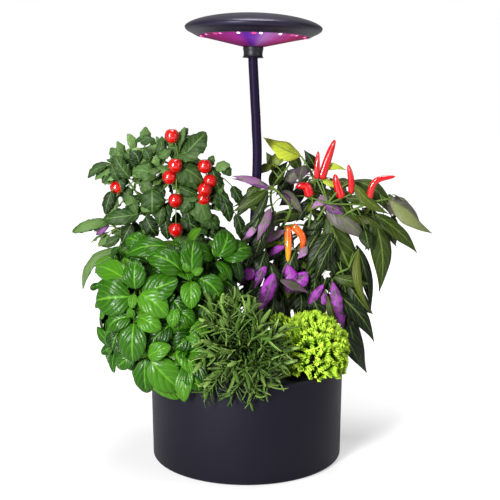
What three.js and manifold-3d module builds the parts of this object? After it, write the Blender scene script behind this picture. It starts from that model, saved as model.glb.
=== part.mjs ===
// A countertop hydroponic garden: a round water pot with a lift-off planting deck, five pods of plants,
// a pump under the deck, and a grow lamp on a gooseneck that rises from the middle of the deck.
// Millimetres, +Z up. The origin is the centre of the base pad's underside.

import * as THREE from 'three';
import { mergeVertices } from 'three/addons/utils/BufferGeometryUtils.js';
import Module from 'manifold-3d';

const wasm = await Module();
wasm.setup();

// Driving dimensions, in millimetres and degrees.
const clearance = 0.3; // between pieces that touch
const overrun = 1; // how far a cut runs past the face that it opens

// Base pad and pot
const padRadius = 93;
const padThickness = 2;
const padStandoff = 1.2; // how far the pad lifts the pot off the table
const potBaseRadius = 99.5;
const potRimRadius = 100.8;
const potRimHeight = 101;
const potWall = 2.6;
const potFloor = 3;
const potEdge = 1.4; // rounding of the bottom and rim edges
const potInnerFillet = 7;
const ledgeWidth = 3.5;
const ledgeHeight = 3;

// Planting deck
const deckDrop = 3; // from the rim down to the deck's top
const deckThickness = 3;
const deckSideGap = 0.5;
const podNames = ['rosemary', 'lettuce', 'chili', 'tomato', 'basil']; // from the front, turning right
const podCount = podNames.length;
const podMargin = 38.2; // from the pot's inside to the circle of the pods
const ribThickness = 2;
const ribHeight = 6;
const ribInner = 20;
const ribOuter = 57;

// Pods
const cupRadius = 18;
const cupFootRadius = 13.5;
const cupDepth = 38;
const cupWall = 1.5;
const cupFlangeRadius = 21.5;
const cupFlangeThickness = 2;
const cupSlotWidth = 4;
const cupSlotCount = 4;
const cupSlotMargin = 8;
const cupDrainRadius = 5;
const capThickness = 1.5;
const capHoleRadius = 8;

// Filling port and its flap
const portSide = 20;
const portMargin = 28.2; // from the pot's inside to the port's middle
const portY = 24;
const portCollarWall = 2;
const portCollarHeight = 2;
const flapThickness = 2;
const flapOverlap = 1;
const flapBarrelRadius = 2.7;
const flapPinRadius = 1.2;
const flapBarrelLength = 18;
const flapEarThickness = 3;
const flapFingerRadius = 5;

// Water float
const floatMargin = 22.9; // from the inside of the pot's foot to the float's middle
const floatY = 24;
const floatStemRadius = 2.2;
const floatHeadRadius = 4.4;
const floatHeadHeight = 4;
const floatPuckRadius = 11;
const floatPuckHeight = 14;
const floatPuckBottom = 12;
const floatGuideWall = 1.6;
const floatGuideLength = 14;

// Controls at the back of the deck
const controlMargin = 19.2; // from the pot's inside to the housing's middle
const controlLength = 44;
const controlDepth = 24;
const controlHeight = 16;
const controlWall = 2;
const controlCorner = 4;
const boardThickness = 1.6;
const boardHeight = 4; // above the deck
const boardMargin = 1.5; // from the housing's inside
const standoffRadius = 2.4;
const switchSide = 5;
const switchHeight = 2.2;
const buttonX = -11;
const buttonRadius = 5;
const buttonProud = 1.4;
const buttonTravel = 1.2;
const buttonFlange = 1;
const lensX = 4;
const lensRadius = 1.8;
const lensProud = 0.5;
const lensFlange = 0.8;
const jackX = 13;
const jackWidth = 10;
const jackDepth = 9;
const jackHeight = 8;
const jackBarrelRadius = 4;
const jackBoreRadius = 3.1;
const jackBoreDepth = 9;
const jackProud = 1;

// Pump
const pumpLength = 40;
const pumpWidth = 30;
const pumpHeight = 28;
const pumpBottom = 12;
const pumpCorner = 6;
const pumpWell = 16; // depth of the impeller's chamber
const pumpWellRadius = 11.5;
const pumpNozzleRadius = 4;
const pumpNozzleBore = 2.5;
const pumpNozzleLength = 8;
const pumpCoverThickness = 2.4;
const grilleSlotWidth = 2;
const grilleSlotGap = 2;
const grilleSlotCount = 4;
const impellerRadius = 9.5;
const impellerHeight = 9;
const impellerHubRadius = 3.2;
const impellerBlades = 5;
const impellerBladeThickness = 1.4;
const shaftRadius = 1.2;
const shaftSeat = 2.5; // how deep each end of the shaft sits
const hangerRadius = 3.6;
const hangerX = 16;
const conduitRadius = 3;
const conduitY = 9;
const conduitTail = 1.5;

// Gooseneck
const neckRadius = 4.8;
const neckTail = 12; // below the deck's top
const socketRadius = 17;
const socketFlange = 3;
const socketHeight = 18;
const socketMouth = 8;
const nutRadius = 11;
const nutHeight = 6;
const neckLean = 9.8; // how far the first bending station stands to the right of the pot's axis
const neckBow = 10.6; // the bow's greatest reach
const neckBowHeight = 300;
const neckRiseHeight = 190;
const neckRise = 4.8;
const firstBendHeight = 345;
const lastBendHeight = 411;
const lastBendLean = 6.5;
const bendStations = 4;

// Grow lamp, measured from its widest circle
const lampTiltBack = 2;
const lampTiltRight = 1.2;
const lampAboveBend = 31;
const lampRadius = 69;
const lampDome = 14;
const lampDomePower = 0.6; // how blunt the lamp's edge is
const lampLipRadius = 57.5;
const lampLipDrop = 8.4;
const lampWall = 1.8;
const lampBossRadius = 6;
const lampBossDrop = 12;
const coneDrop = 10;
const coneWall = 1.5;
const coneInnerRadius = 10.6;
const coneRimHeight = 2;
const collarRadius = 10.3;
const collarWaist = 9.6;
const collarFlare = 10.8;
const collarHeight = 10.4;
const hubRadius = 8.5;
const boardRadius = 55;
const ledBoardThickness = 1.6;
const ledBoardDrop = 4.5;
const ledGroupCount = 8; // of a pair and a single one
const ledPairAngle = 4; // each side of the pair's middle
const ledFirstAngle = 3.3; // from the lamp's front
const ledSide = 3;
const ledHeight = 1.2;
const ledCircle = 49;
const spreaderRadius = 44;
const spreaderThickness = 1.5;
const finCount = 8;
const finHeight = 4;
const finThickness = 1.5;

// Plants. The tables further on give shares of a plant's branch length or, for the lettuce, of its radius.
const tomatoBranchLength = 100;
const basilBranchLength = 100;
const chiliBranchLength = 100;
const rosemaryBranchLength = 100;
const lettuceHeadRadius = 36;
const stemRadius = 3.2;
const branchRadius = 2;
const twigRadius = 1.3;
const leafThickness = 1.2;
const smallLeafWidth = 27; // narrower leaves have a single widest place
const leafFold = 0.1; // depth of the ridge below a leaf, as a share of its half width
const stalkWidth = 1.8;
const tomatoRadius = 7.7;
const trussRadius = 0.9;
const pepperStalkRadius = 1;
const needleWidth = 3.2;
const needleLength = 20;
const needlesPerSprig = 3;
const goldenTurn = 2.4; // radians from one leaf or needle on a stem to the next

// Places worked out from the driving dimensions
const potUnder = padStandoff;
const potRecess = padThickness + clearance;
const potFloorTop = potRecess + potFloor;
const potInnerRim = potRimRadius - potWall;
const potInnerBase = potBaseRadius - potWall;
const podCircle = potInnerRim - podMargin;
const portX = potInnerRim - portMargin;
const controlY = potInnerRim - controlMargin;
const floatX = floatMargin - potInnerBase;
const deckTop = potRimHeight - deckDrop;
const deckBottom = deckTop - deckThickness;
const ledgeTop = deckBottom - clearance;
const deckRadius = potInnerRim - deckSideGap;
const cupTop = deckTop + clearance + cupFlangeThickness;
const cupBottom = deckTop - cupDepth;
const capBottom = cupTop - capThickness;
const stemFoot = capBottom - clearance;
const spongeTop = stemFoot - clearance;
const portCollarTop = deckTop + portCollarHeight;
const flapUnder = portCollarTop + clearance;
const flapReach = portSide / 2 + portCollarWall + flapOverlap;
const flapAxisX = portX + flapReach + clearance + flapBarrelRadius;
const flapAxisZ = deckTop + clearance + flapBarrelRadius;
const controlTop = deckTop + clearance + controlHeight;
const boardBottom = deckTop + boardHeight;
const boardTop = boardBottom + boardThickness;
const pumpTop = pumpBottom + pumpHeight;
const lampAxis = new THREE.Vector3(0, 0, 1).applyEuler(lampTurn());
const bends = Array.from({ length: bendStations }, (_, i) => bendPlace(i / (bendStations - 1)));
const lampCentre = bends[bendStations - 1].clone().addScaledVector(lampAxis, lampAboveBend);

function lampTurn() {
  const [back, right] = [lampTiltBack, lampTiltRight].map((angle) => THREE.MathUtils.degToRad(angle));
  return new THREE.Euler(-back, right, 0);
}

function bendPlace(share) {
  const lean = THREE.MathUtils.lerp(neckLean, lastBendLean, share);
  return new THREE.Vector3(lean, 0, THREE.MathUtils.lerp(firstBendHeight, lastBendHeight, share));
}

// Materials, one for each finish
function finish(color, roughness, metalness = 0) {
  return new THREE.MeshStandardMaterial({ color, roughness, metalness, flatShading: true });
}

const blackPlastic = finish(0x2a2830, 0.55);
const darkPlastic = finish(0x1b1a1e, 0.5);
const deckPlastic = finish(0x24242a, 0.6);
const sleeveRubber = finish(0x2c2340, 0.5);
const softPad = finish(0x161618, 0.9);
const whitePlastic = finish(0xe8e8e4, 0.5);
const spongeFoam = finish(0x6a4a32, 0.95);
const boardGreen = finish(0x1d6a3c, 0.6);
const greenLens = finish(0x59d26e, 0.2);
const steel = finish(0xb8bcc2, 0.3, 1);
const aluminium = finish(0xc7c9cc, 0.4, 1);
const glowCone = finish(0xb03aa0, 0.35);
const floatFoam = finish(0xd94a2b, 0.6);
const basilGreen = finish(0x4f9a2c, 0.5);
const tomatoGreen = finish(0x3f6b35, 0.6);
const chiliGreen = finish(0x33502c, 0.5);
const rosemaryGreen = finish(0x5c7a3a, 0.6);
const lettuceGreen = finish(0xa8d02a, 0.6);
const ripeRed = finish(0xd8150e, 0.2);
const ripeOrange = finish(0xf08a1c, 0.25);

// Solid makers. Each takes a three.js geometry or profile and gives a closed solid.
function solid(geometry) {
  const bare = geometry.clone();
  bare.deleteAttribute('normal');
  bare.deleteAttribute('uv');
  const merged = mergeVertices(bare);
  const index = merged.index.array;
  const places = merged.attributes.position;
  const corners = [0, 1, 2].map(() => new THREE.Vector3());
  const kept = [];
  let volume = 0;
  for (let i = 0; i < index.length; i += 3) {
    const [a, b, c] = index.slice(i, i + 3);
    if (a === b || b === c || c === a) continue;
    kept.push(a, b, c);
    corners.forEach((corner, k) => corner.fromBufferAttribute(places, index[i + k]));
    volume += corners[0].dot(corners[1].clone().cross(corners[2]));
  }
  const triVerts = new Uint32Array(volume > 0 ? kept : kept.reverse());
  const vertProperties = new Float32Array(places.array);
  return new wasm.Manifold(new wasm.Mesh({ numProp: 3, vertProperties, triVerts }));
}

function join(first, ...others) {
  return others.flat().reduce((whole, other) => whole.add(other), first);
}

function cut(first, ...others) {
  return others.flat().reduce((whole, other) => whole.subtract(other), first);
}

// A profile of [radius, height] pairs turned about the Z axis
function turned(profile, sides, closed = false) {
  const points = profile.map(([radius, height]) => new THREE.Vector2(radius, height));
  if (closed) points.push(points[0].clone());
  return new THREE.LatheGeometry(points, sides).rotateX(Math.PI / 2);
}

function rod(radius, bottom, top, sides, x = 0, y = 0) {
  const height = top - bottom;
  const geometry = new THREE.CylinderGeometry(radius, radius, height, sides).rotateX(Math.PI / 2);
  return solid(geometry.translate(x, y, bottom + height / 2));
}

function ring(inner, outer, bottom, top, sides) {
  return solid(turned([[inner, bottom], [outer, bottom], [outer, top], [inner, top]], sides, true));
}

function block(lengthX, lengthY, bottom, top, x = 0, y = 0) {
  const geometry = new THREE.BoxGeometry(lengthX, lengthY, top - bottom);
  return solid(geometry.translate(x, y, (bottom + top) / 2));
}

// A block whose upright edges are rounded
function roundedBlock(lengthX, lengthY, corner, bottom, top, x = 0, y = 0) {
  const halfX = lengthX / 2;
  const halfY = lengthY / 2;
  const outline = new THREE.Shape();
  outline.moveTo(halfX - corner, -halfY);
  outline.absarc(halfX - corner, corner - halfY, corner, -Math.PI / 2, 0);
  outline.absarc(halfX - corner, halfY - corner, corner, 0, Math.PI / 2);
  outline.absarc(corner - halfX, halfY - corner, corner, Math.PI / 2, Math.PI);
  outline.absarc(corner - halfX, corner - halfY, corner, Math.PI, 1.5 * Math.PI);
  const depth = top - bottom;
  const geometry = new THREE.ExtrudeGeometry(outline, { depth, bevelEnabled: false, curveSegments: 2 });
  return solid(geometry.translate(x, y, bottom));
}

// A tube of one radius along a curve
function tube(curve, radius, sides, steps) {
  const outline = new THREE.Shape();
  for (let i = 0; i < sides; i += 1) {
    const angle = (2 * Math.PI * i) / sides;
    const [x, y] = [radius * Math.cos(angle), radius * Math.sin(angle)];
    if (i === 0) outline.moveTo(x, y);
    else outline.lineTo(x, y);
  }
  return solid(new THREE.ExtrudeGeometry(outline, { steps, extrudePath: curve, bevelEnabled: false }));
}

// Points of a quarter round in a profile, from one angle to another about a centre
function arc(centreRadius, centreHeight, radius, from, to, steps) {
  return Array.from({ length: steps + 1 }, (_, i) => {
    const angle = THREE.MathUtils.degToRad(THREE.MathUtils.lerp(from, to, i / steps));
    return [centreRadius + radius * Math.cos(angle), centreHeight + radius * Math.sin(angle)];
  });
}

function around(count, make) {
  return Array.from({ length: count }, (_, i) => make((2 * Math.PI * i) / count, i));
}

// The object's scene graph
const garden = new THREE.Group();

function addPiece(name, piece, material) {
  const { vertProperties, triVerts } = piece.getMesh();
  const geometry = new THREE.BufferGeometry();
  geometry.setAttribute('position', new THREE.BufferAttribute(new Float32Array(vertProperties), 3));
  geometry.setIndex(new THREE.BufferAttribute(new Uint32Array(triVerts), 1));
  geometry.computeVertexNormals();
  const mesh = new THREE.Mesh(geometry, material);
  mesh.name = name;
  garden.add(mesh);
  return mesh;
}

// Pot and pad
function potShell() {
  const recessRadius = padRadius + clearance;
  const profile = [
    [0, potRecess],
    [recessRadius, potRecess],
    [recessRadius, potUnder],
    ...arc(potBaseRadius - potEdge, potUnder + potEdge, potEdge, -90, 0, 1),
    ...arc(potRimRadius - potEdge, potRimHeight - potEdge, potEdge, 0, 90, 1),
    [potInnerRim, potRimHeight],
    [potInnerRim, ledgeTop],
    [potInnerRim - ledgeWidth, ledgeTop],
    [potInnerRim - ledgeWidth, ledgeTop - ledgeHeight],
    [potInnerRim, ledgeTop - ledgeHeight - ledgeWidth],
    ...arc(potInnerBase - potInnerFillet, potFloorTop + potInnerFillet, potInnerFillet, 0, -90, 2),
    [0, potFloorTop],
  ];
  return solid(turned(profile, 40));
}

function basePad() {
  const edge = padThickness / 4;
  const profile = [
    [0, 0], [padRadius - edge, 0], [padRadius, edge], [padRadius, padThickness], [0, padThickness],
  ];
  return solid(turned(profile, 36));
}

// Planting deck, with its holes, collar, ears, guide, ribs and pump hangers
function podAngle(index) {
  return THREE.MathUtils.degToRad(-90) + (2 * Math.PI * index) / podCount;
}

function podPlace(index) {
  return new THREE.Vector3(podCircle * Math.cos(podAngle(index)), podCircle * Math.sin(podAngle(index)), 0);
}

function plantingDeck() {
  const holes = [];
  for (let i = 0; i < podCount; i += 1) {
    const place = podPlace(i);
    holes.push(rod(cupRadius + clearance, deckBottom - overrun, deckTop + overrun, 16, place.x, place.y));
  }
  holes.push(rod(neckRadius + clearance, deckBottom - overrun, deckTop + overrun, 12));
  holes.push(rod(conduitRadius + clearance, deckBottom - overrun, deckTop + overrun, 10, 0, controlY));
  holes.push(rod(floatStemRadius + clearance, deckBottom - floatGuideLength - overrun, deckTop + overrun, 10,
    floatX, floatY));
  holes.push(block(portSide, portSide, deckBottom - overrun, portCollarTop + overrun, portX, portY));

  const guideRadius = floatStemRadius + clearance + floatGuideWall;
  const collarSide = portSide + 2 * portCollarWall;
  const additions = [
    rod(guideRadius, deckBottom - floatGuideLength, deckTop - deckThickness / 2, 12, floatX, floatY),
    block(collarSide, collarSide, deckTop - deckThickness / 2, portCollarTop, portX, portY),
  ];
  for (const side of [-1, 1]) {
    const hangerTop = deckTop - deckThickness / 2;
    additions.push(rod(hangerRadius, pumpTop + clearance, hangerTop, 10, side * hangerX));
    additions.push(flapEar(side));
    additions.push(rod(standoffRadius, deckTop - deckThickness / 2, boardBottom - clearance, 10,
      side * controlLength / 4, controlY));
  }
  additions.push(...around(podCount, (angle) => {
    const length = ribOuter - ribInner;
    const bar = new THREE.BoxGeometry(length, ribThickness, ribHeight + deckThickness / 2);
    bar.translate(ribInner + length / 2, 0, deckBottom - ribHeight / 2 + deckThickness / 4);
    return solid(bar.rotateZ(angle + podAngle(0) + Math.PI / podCount));
  }));
  return cut(join(rod(deckRadius, deckBottom, deckTop, 40), additions), holes, flapPinHole());
}

function flapEar(side) {
  const earY = portY + side * (flapBarrelLength / 2 + clearance + flapEarThickness / 2);
  const earTop = flapAxisZ;
  const footBottom = deckTop - deckThickness / 2;
  const foot = block(2 * flapBarrelRadius, flapEarThickness, footBottom, earTop, flapAxisX, earY);
  const head = new THREE.CylinderGeometry(flapBarrelRadius, flapBarrelRadius, flapEarThickness, 12);
  return join(foot, solid(head.translate(flapAxisX, earY, flapAxisZ)));
}

function flapPinHole() {
  const length = flapBarrelLength + 2 * (clearance + flapEarThickness + overrun);
  const hole = new THREE.CylinderGeometry(flapPinRadius + clearance, flapPinRadius + clearance, length, 12);
  return solid(hole.translate(flapAxisX, portY, flapAxisZ));
}

function flapPin() {
  const length = flapBarrelLength + 2 * (clearance + flapEarThickness);
  const pin = new THREE.CylinderGeometry(flapPinRadius, flapPinRadius, length, 12);
  return solid(pin.translate(flapAxisX, portY, flapAxisZ));
}

function fillFlap() {
  const plate = block(2 * flapReach, 2 * flapReach, flapUnder, flapUnder + flapThickness, portX, portY);
  const barrel = new THREE.CylinderGeometry(flapBarrelRadius, flapBarrelRadius, flapBarrelLength, 12);
  const neckLength = flapBarrelRadius + clearance + overrun;
  const neck = block(neckLength, flapBarrelLength, flapUnder, flapUnder + flapThickness,
    flapAxisX - neckLength / 2, portY);
  const finger = rod(flapFingerRadius, flapUnder, flapUnder + flapThickness, 12, portX - flapReach, portY);
  const whole = join(plate, solid(barrel.translate(flapAxisX, portY, flapAxisZ)), neck, finger);
  return cut(whole, flapPinHole());
}

function waterFloat() {
  const headBottom = deckTop + clearance;
  const puckTop = floatPuckBottom + floatPuckHeight;
  const profile = [
    [0, floatPuckBottom],
    [floatPuckRadius - overrun, floatPuckBottom],
    [floatPuckRadius, floatPuckBottom + overrun],
    [floatPuckRadius, puckTop - overrun],
    [floatPuckRadius - overrun, puckTop],
    [floatStemRadius, puckTop],
    [floatStemRadius, headBottom],
    [floatHeadRadius, headBottom],
    [floatHeadRadius, headBottom + floatHeadHeight / 2],
    [floatHeadRadius / 2, headBottom + floatHeadHeight],
    [0, headBottom + floatHeadHeight],
  ];
  return solid(turned(profile, 12).translate(floatX, floatY, 0));
}

// Controls
function controlHousing() {
  const bottom = deckTop + clearance;
  const innerLength = controlLength - 2 * controlWall;
  const innerDepth = controlDepth - 2 * controlWall;
  const shell = roundedBlock(controlLength, controlDepth, controlCorner, bottom, controlTop, 0, controlY);
  const room = roundedBlock(innerLength, innerDepth, controlCorner - controlWall, bottom - overrun,
    controlTop - controlWall, 0, controlY);
  const under = controlTop - controlWall - overrun;
  const over = controlTop + overrun;
  const buttonHole = rod(buttonRadius + clearance, under, over, 16, buttonX, controlY);
  const lensHole = rod(lensRadius + clearance, under, over, 12, lensX, controlY);
  return cut(shell, room, buttonHole, lensHole, jackBarrel(jackBarrelRadius + clearance, overrun));
}

function jackBarrel(radius, extra) {
  const back = controlY + controlDepth / 2 + jackProud + extra;
  const front = controlY + controlDepth / 2 - controlWall - clearance;
  const barrel = new THREE.CylinderGeometry(radius, radius, back - front, 16);
  return solid(barrel.translate(jackX, (back + front) / 2, boardTop + clearance + jackHeight / 2));
}

function dcJack() {
  const innerBack = controlY + controlDepth / 2 - controlWall - clearance;
  const bottom = boardTop + clearance;
  const body = block(jackWidth, jackDepth, bottom, bottom + jackHeight, jackX, innerBack - jackDepth / 2);
  const back = controlY + controlDepth / 2 + jackProud;
  const bore = new THREE.CylinderGeometry(jackBoreRadius, jackBoreRadius, jackBoreDepth + overrun, 12);
  const boreCentre = back - jackBoreDepth / 2 + overrun / 2;
  return cut(join(body, jackBarrel(jackBarrelRadius, 0)),
    solid(bore.translate(jackX, boreCentre, bottom + jackHeight / 2)));
}

function controlBoard() {
  const length = controlLength - 2 * (controlWall + boardMargin);
  const depth = controlDepth - 2 * (controlWall + boardMargin);
  const board = block(length, depth, boardBottom, boardTop, 0, controlY);
  const cable = rod(conduitRadius + clearance, boardBottom - overrun, boardTop + overrun, 10, 0, controlY);
  const tactSwitch = block(switchSide, switchSide, boardTop - boardThickness / 2, boardTop + switchHeight,
    buttonX, controlY);
  const chip = block(switchSide, switchSide, boardTop - boardThickness / 2, boardTop + switchHeight / 2,
    lensX, controlY - depth / 4);
  return cut(join(board, tactSwitch, chip), cable);
}

function timerButton() {
  const switchTop = boardTop + switchHeight;
  const bottom = switchTop + buttonTravel + clearance;
  const under = controlTop - controlWall - clearance;
  const flangeRadius = buttonRadius + clearance + buttonFlange;
  const top = controlTop + buttonProud;
  const profile = [
    [0, bottom], [buttonRadius / 2, bottom], [buttonRadius / 2, under - buttonFlange],
    [flangeRadius, under - buttonFlange], [flangeRadius, under], [buttonRadius, under],
    [buttonRadius, top - buttonProud / 2], [buttonRadius * 0.8, top], [0, top],
  ];
  return solid(turned(profile, 16).translate(buttonX, controlY, 0));
}

function indicatorLens() {
  const under = controlTop - controlWall - clearance;
  const top = controlTop + lensProud;
  const profile = [
    [0, under - lensFlange], [lensRadius + clearance + lensFlange, under - lensFlange],
    [lensRadius + clearance + lensFlange, under], [lensRadius, under], [lensRadius, controlTop],
    [lensRadius / 2, top], [0, top],
  ];
  return solid(turned(profile, 12).translate(lensX, controlY, 0));
}

// Pump
function pumpBody() {
  const well = rod(pumpWellRadius, pumpBottom - overrun, pumpBottom + pumpWell, 20);
  const shaftHole = rod(shaftRadius + clearance, pumpBottom, pumpBottom + pumpWell + shaftSeat, 12);
  const shell = roundedBlock(pumpLength, pumpWidth, pumpCorner, pumpBottom, pumpTop);
  const nozzleHeight = pumpBottom + pumpWell / 2;
  const nozzleEnd = pumpLength / 2 + pumpNozzleLength;
  const nozzle = (radius, start, end) => {
    const barrel = new THREE.CylinderGeometry(radius, radius, end - start, 12).rotateZ(Math.PI / 2);
    return solid(barrel.translate((start + end) / 2, 0, nozzleHeight));
  };
  const outlet = nozzle(pumpNozzleRadius, pumpLength / 2 - overrun, nozzleEnd);
  return cut(join(shell, outlet), well, shaftHole, nozzle(pumpNozzleBore, 0, nozzleEnd + overrun));
}

function pumpCover() {
  const top = pumpBottom - clearance;
  const bottom = top - pumpCoverThickness;
  const plate = roundedBlock(pumpLength, pumpWidth, pumpCorner, bottom, top);
  const bossRadius = shaftRadius + clearance + impellerBladeThickness;
  const boss = rod(bossRadius, top - pumpCoverThickness / 2, top + shaftSeat, 12);
  const slots = [];
  const pitch = grilleSlotWidth + grilleSlotGap;
  for (let i = 0; i < grilleSlotCount; i += 1) {
    const across = pumpWellRadius / 2 + (i - (grilleSlotCount - 1) / 2) * pitch;
    slots.push(block(grilleSlotWidth, pumpWellRadius / 2, bottom - overrun, top + overrun,
      across - pumpWellRadius / 2, pumpWellRadius / 2 + overrun));
    slots.push(block(grilleSlotWidth, pumpWellRadius / 2, bottom - overrun, top + overrun,
      across - pumpWellRadius / 2, -pumpWellRadius / 2 - overrun));
  }
  const seat = rod(shaftRadius + clearance, top, top + shaftSeat + overrun, 12);
  return cut(join(plate, boss), slots, seat);
}

function pumpShaft() {
  const bottom = pumpBottom;
  return rod(shaftRadius, bottom, pumpBottom + pumpWell + shaftSeat - clearance, 12);
}

function pumpImpeller() {
  const bottom = pumpBottom + shaftSeat;
  const top = bottom + impellerHeight;
  const blades = around(impellerBlades, (angle) => {
    const blade = new THREE.BoxGeometry(impellerRadius, impellerBladeThickness, impellerHeight);
    blade.translate(impellerRadius / 2, 0, (bottom + top) / 2);
    return solid(blade.rotateZ(angle));
  });
  const hub = rod(impellerHubRadius, bottom, top + overrun, 12);
  const bore = rod(shaftRadius + clearance, bottom - overrun, top + 2 * overrun, 12);
  return cut(join(hub, blades), bore);
}

function pumpConduit() {
  const bottom = pumpTop + clearance;
  const bendTop = deckBottom - 2 * conduitRadius;
  const rise = bendTop - bottom;
  const route = new THREE.CurvePath();
  route.add(new THREE.CubicBezierCurve3(
    new THREE.Vector3(0, conduitY, bottom),
    new THREE.Vector3(0, conduitY, bottom + rise / 2),
    new THREE.Vector3(0, controlY, bendTop - rise / 2),
    new THREE.Vector3(0, controlY, bendTop),
  ));
  route.add(new THREE.LineCurve3(
    new THREE.Vector3(0, controlY, bendTop),
    new THREE.Vector3(0, controlY, deckTop + conduitTail),
  ));
  return tube(route, conduitRadius, 6, 14);
}

// Gooseneck: a lower stretch, then short links that seat on each other's round heads
function neckSocket() {
  const bottom = deckTop + clearance;
  const bore = neckRadius + clearance;
  const profile = [
    [bore, bottom], [socketRadius, bottom], [socketRadius, bottom + socketFlange / 2],
    [socketRadius - socketFlange / 2, bottom + socketFlange],
    [socketMouth + socketFlange, bottom + socketFlange],
    [socketMouth, bottom + socketHeight - socketFlange / 2],
    [socketMouth - socketFlange / 2, bottom + socketHeight],
    [bore, bottom + socketHeight],
  ];
  return solid(turned(profile, 18, true));
}

function neckNut() {
  const top = deckBottom - clearance;
  const nut = rod(nutRadius, top - nutHeight, top, 6);
  return cut(nut, rod(neckRadius + clearance, top - nutHeight - overrun, top + overrun, 14));
}

function neckLower() {
  const foot = deckTop - neckTail;
  const straight = deckTop + socketHeight + clearance;
  const curve = new THREE.CatmullRomCurve3([
    new THREE.Vector3(0, 0, foot),
    new THREE.Vector3(0, 0, straight),
    new THREE.Vector3(neckRise, 0, neckRiseHeight),
    new THREE.Vector3(neckBow, 0, neckBowHeight),
    bends[0],
  ]);
  const head = new THREE.SphereGeometry(neckRadius, 12, 8).translate(bends[0].x, bends[0].y, bends[0].z);
  return join(tube(curve, neckRadius, 12, 20), solid(head));
}

function neckLink(from, to) {
  const length = to.clone().sub(from).length();
  const seat = neckRadius + clearance;
  const seatAngle = THREE.MathUtils.radToDeg(Math.acos(neckRadius / seat));
  const profile = [
    ...arc(0, 0, seat, 90, seatAngle, 3),
    ...arc(0, length, neckRadius, 0, 90, 3),
  ];
  const geometry = turned(tidyAxis(profile), 12).applyQuaternion(aim(from, to));
  return solid(geometry.translate(from.x, from.y, from.z));
}

// The first and last points of an open profile lie exactly on the axis
function tidyAxis(profile) {
  const ends = [0, profile.length - 1];
  return profile.map(([radius, height], i) => [ends.includes(i) ? 0 : radius, height]);
}

function aim(from, to) {
  const direction = to.clone().sub(from).normalize();
  return new THREE.Quaternion().setFromUnitVectors(new THREE.Vector3(0, 0, 1), direction);
}

// Lamp pieces, made about the lamp's own axis and then tilted into place
function lampPiece(name, geometry, material) {
  const mesh = addPiece(name, geometry, material);
  mesh.rotation.copy(lampTurn());
  mesh.position.copy(lampCentre);
}

const collarTop = -lampLipDrop - coneDrop - clearance;
const collarBottom = collarTop - collarHeight;
const lampBossBottom = lampDome - lampWall - lampBossDrop;

function lampStem() {
  const seat = neckRadius + clearance;
  const seatAngle = THREE.MathUtils.radToDeg(Math.acos(neckRadius / seat));
  const profile = [
    ...arc(0, -lampAboveBend, seat, 90, seatAngle, 3),
    [neckRadius, collarTop],
    [0, collarTop],
  ];
  return solid(turned(tidyAxis(profile), 12));
}

function lampCollar() {
  const bore = neckRadius + clearance;
  const middle = (collarTop + collarBottom) / 2;
  const step = collarHeight / 6;
  const profile = [
    [bore, collarTop], [collarRadius, collarTop], [collarRadius, collarTop - step], [collarWaist, middle],
    [collarWaist, collarBottom + step], [collarFlare, collarBottom], [bore + step, collarBottom],
    [bore, collarBottom + step],
  ];
  return solid(turned(profile, 18, true));
}

// Height of the dome at a share of its reach
function domeHeight(share, rise) {
  return rise * (1 - share ** 2) ** lampDomePower;
}

function lampTopCover() {
  const shares = [0, 0.3, 0.55, 0.74, 0.88, 0.96, 0.99];
  const outer = shares.map((share) => [share * lampRadius, domeHeight(share, lampDome)]);
  const innerReach = lampRadius - 2 * lampWall;
  const innerRise = lampDome - lampWall;
  const innerShares = [0, 0.55, 0.74, 0.94];
  const inner = innerShares.map((share) => [share * innerReach, domeHeight(share, innerRise)]).reverse();
  const lipMiddle = [(lampRadius + lampLipRadius) / 2 + potEdge / 2, -lampLipDrop / 2];
  const profile = [
    ...outer, [lampRadius, 0], lipMiddle, [lampLipRadius, -lampLipDrop],
    [lampLipRadius - lampWall, -lampLipDrop], [innerReach - lampWall * 1.5, -lampLipDrop / 3], ...inner,
  ];
  const boss = cut(rod(lampBossRadius, lampBossBottom, innerRise + lampWall / 2, 12),
    rod(lampBossRadius - lampWall, lampBossBottom - overrun, innerRise - lampWall, 10));
  return join(solid(turned(profile, 36)), boss);
}

function lampDiffuser() {
  const rim = lampLipRadius - lampWall - clearance;
  const under = -lampLipDrop - coneDrop;
  const slant = coneWall * 1.02;
  const profile = [
    [coneInnerRadius, under], [rim, -lampLipDrop], [rim, -lampLipDrop + coneRimHeight],
    [rim - coneWall, -lampLipDrop + coneRimHeight], [rim - coneWall, -lampLipDrop + slant],
    [coneInnerRadius, under + slant],
  ];
  return solid(turned(profile, 36, true));
}

function lampHub() {
  const bottom = collarTop + clearance;
  const bore = lampBossRadius - lampWall - clearance;
  const top = lampBossBottom - clearance;
  const spigotTop = lampBossBottom + lampBossDrop / 2;
  const profile = [
    [0, bottom], [hubRadius, bottom], [hubRadius, top - lampWall], [hubRadius - lampWall, top],
    [bore, top], [bore, spigotTop], [0, spigotTop],
  ];
  return solid(turned(profile, 12));
}

function ledBoard() {
  const top = -ledBoardDrop;
  const bottom = top - ledBoardThickness;
  const disc = ring(hubRadius + clearance, boardRadius, bottom, top, 24);
  const group = [-ledPairAngle, ledPairAngle, 180 / ledGroupCount];
  const beads = around(ledGroupCount, (angle) => group.map((turn) => {
    const bead = new THREE.BoxGeometry(ledSide, ledSide, ledHeight + ledBoardThickness / 2);
    bead.translate(ledCircle, 0, bottom - ledHeight / 2 + ledBoardThickness / 4);
    return solid(bead.rotateZ(angle + THREE.MathUtils.degToRad(ledFirstAngle - 90 + turn)));
  }));
  return join(disc, beads.flat());
}

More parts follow.
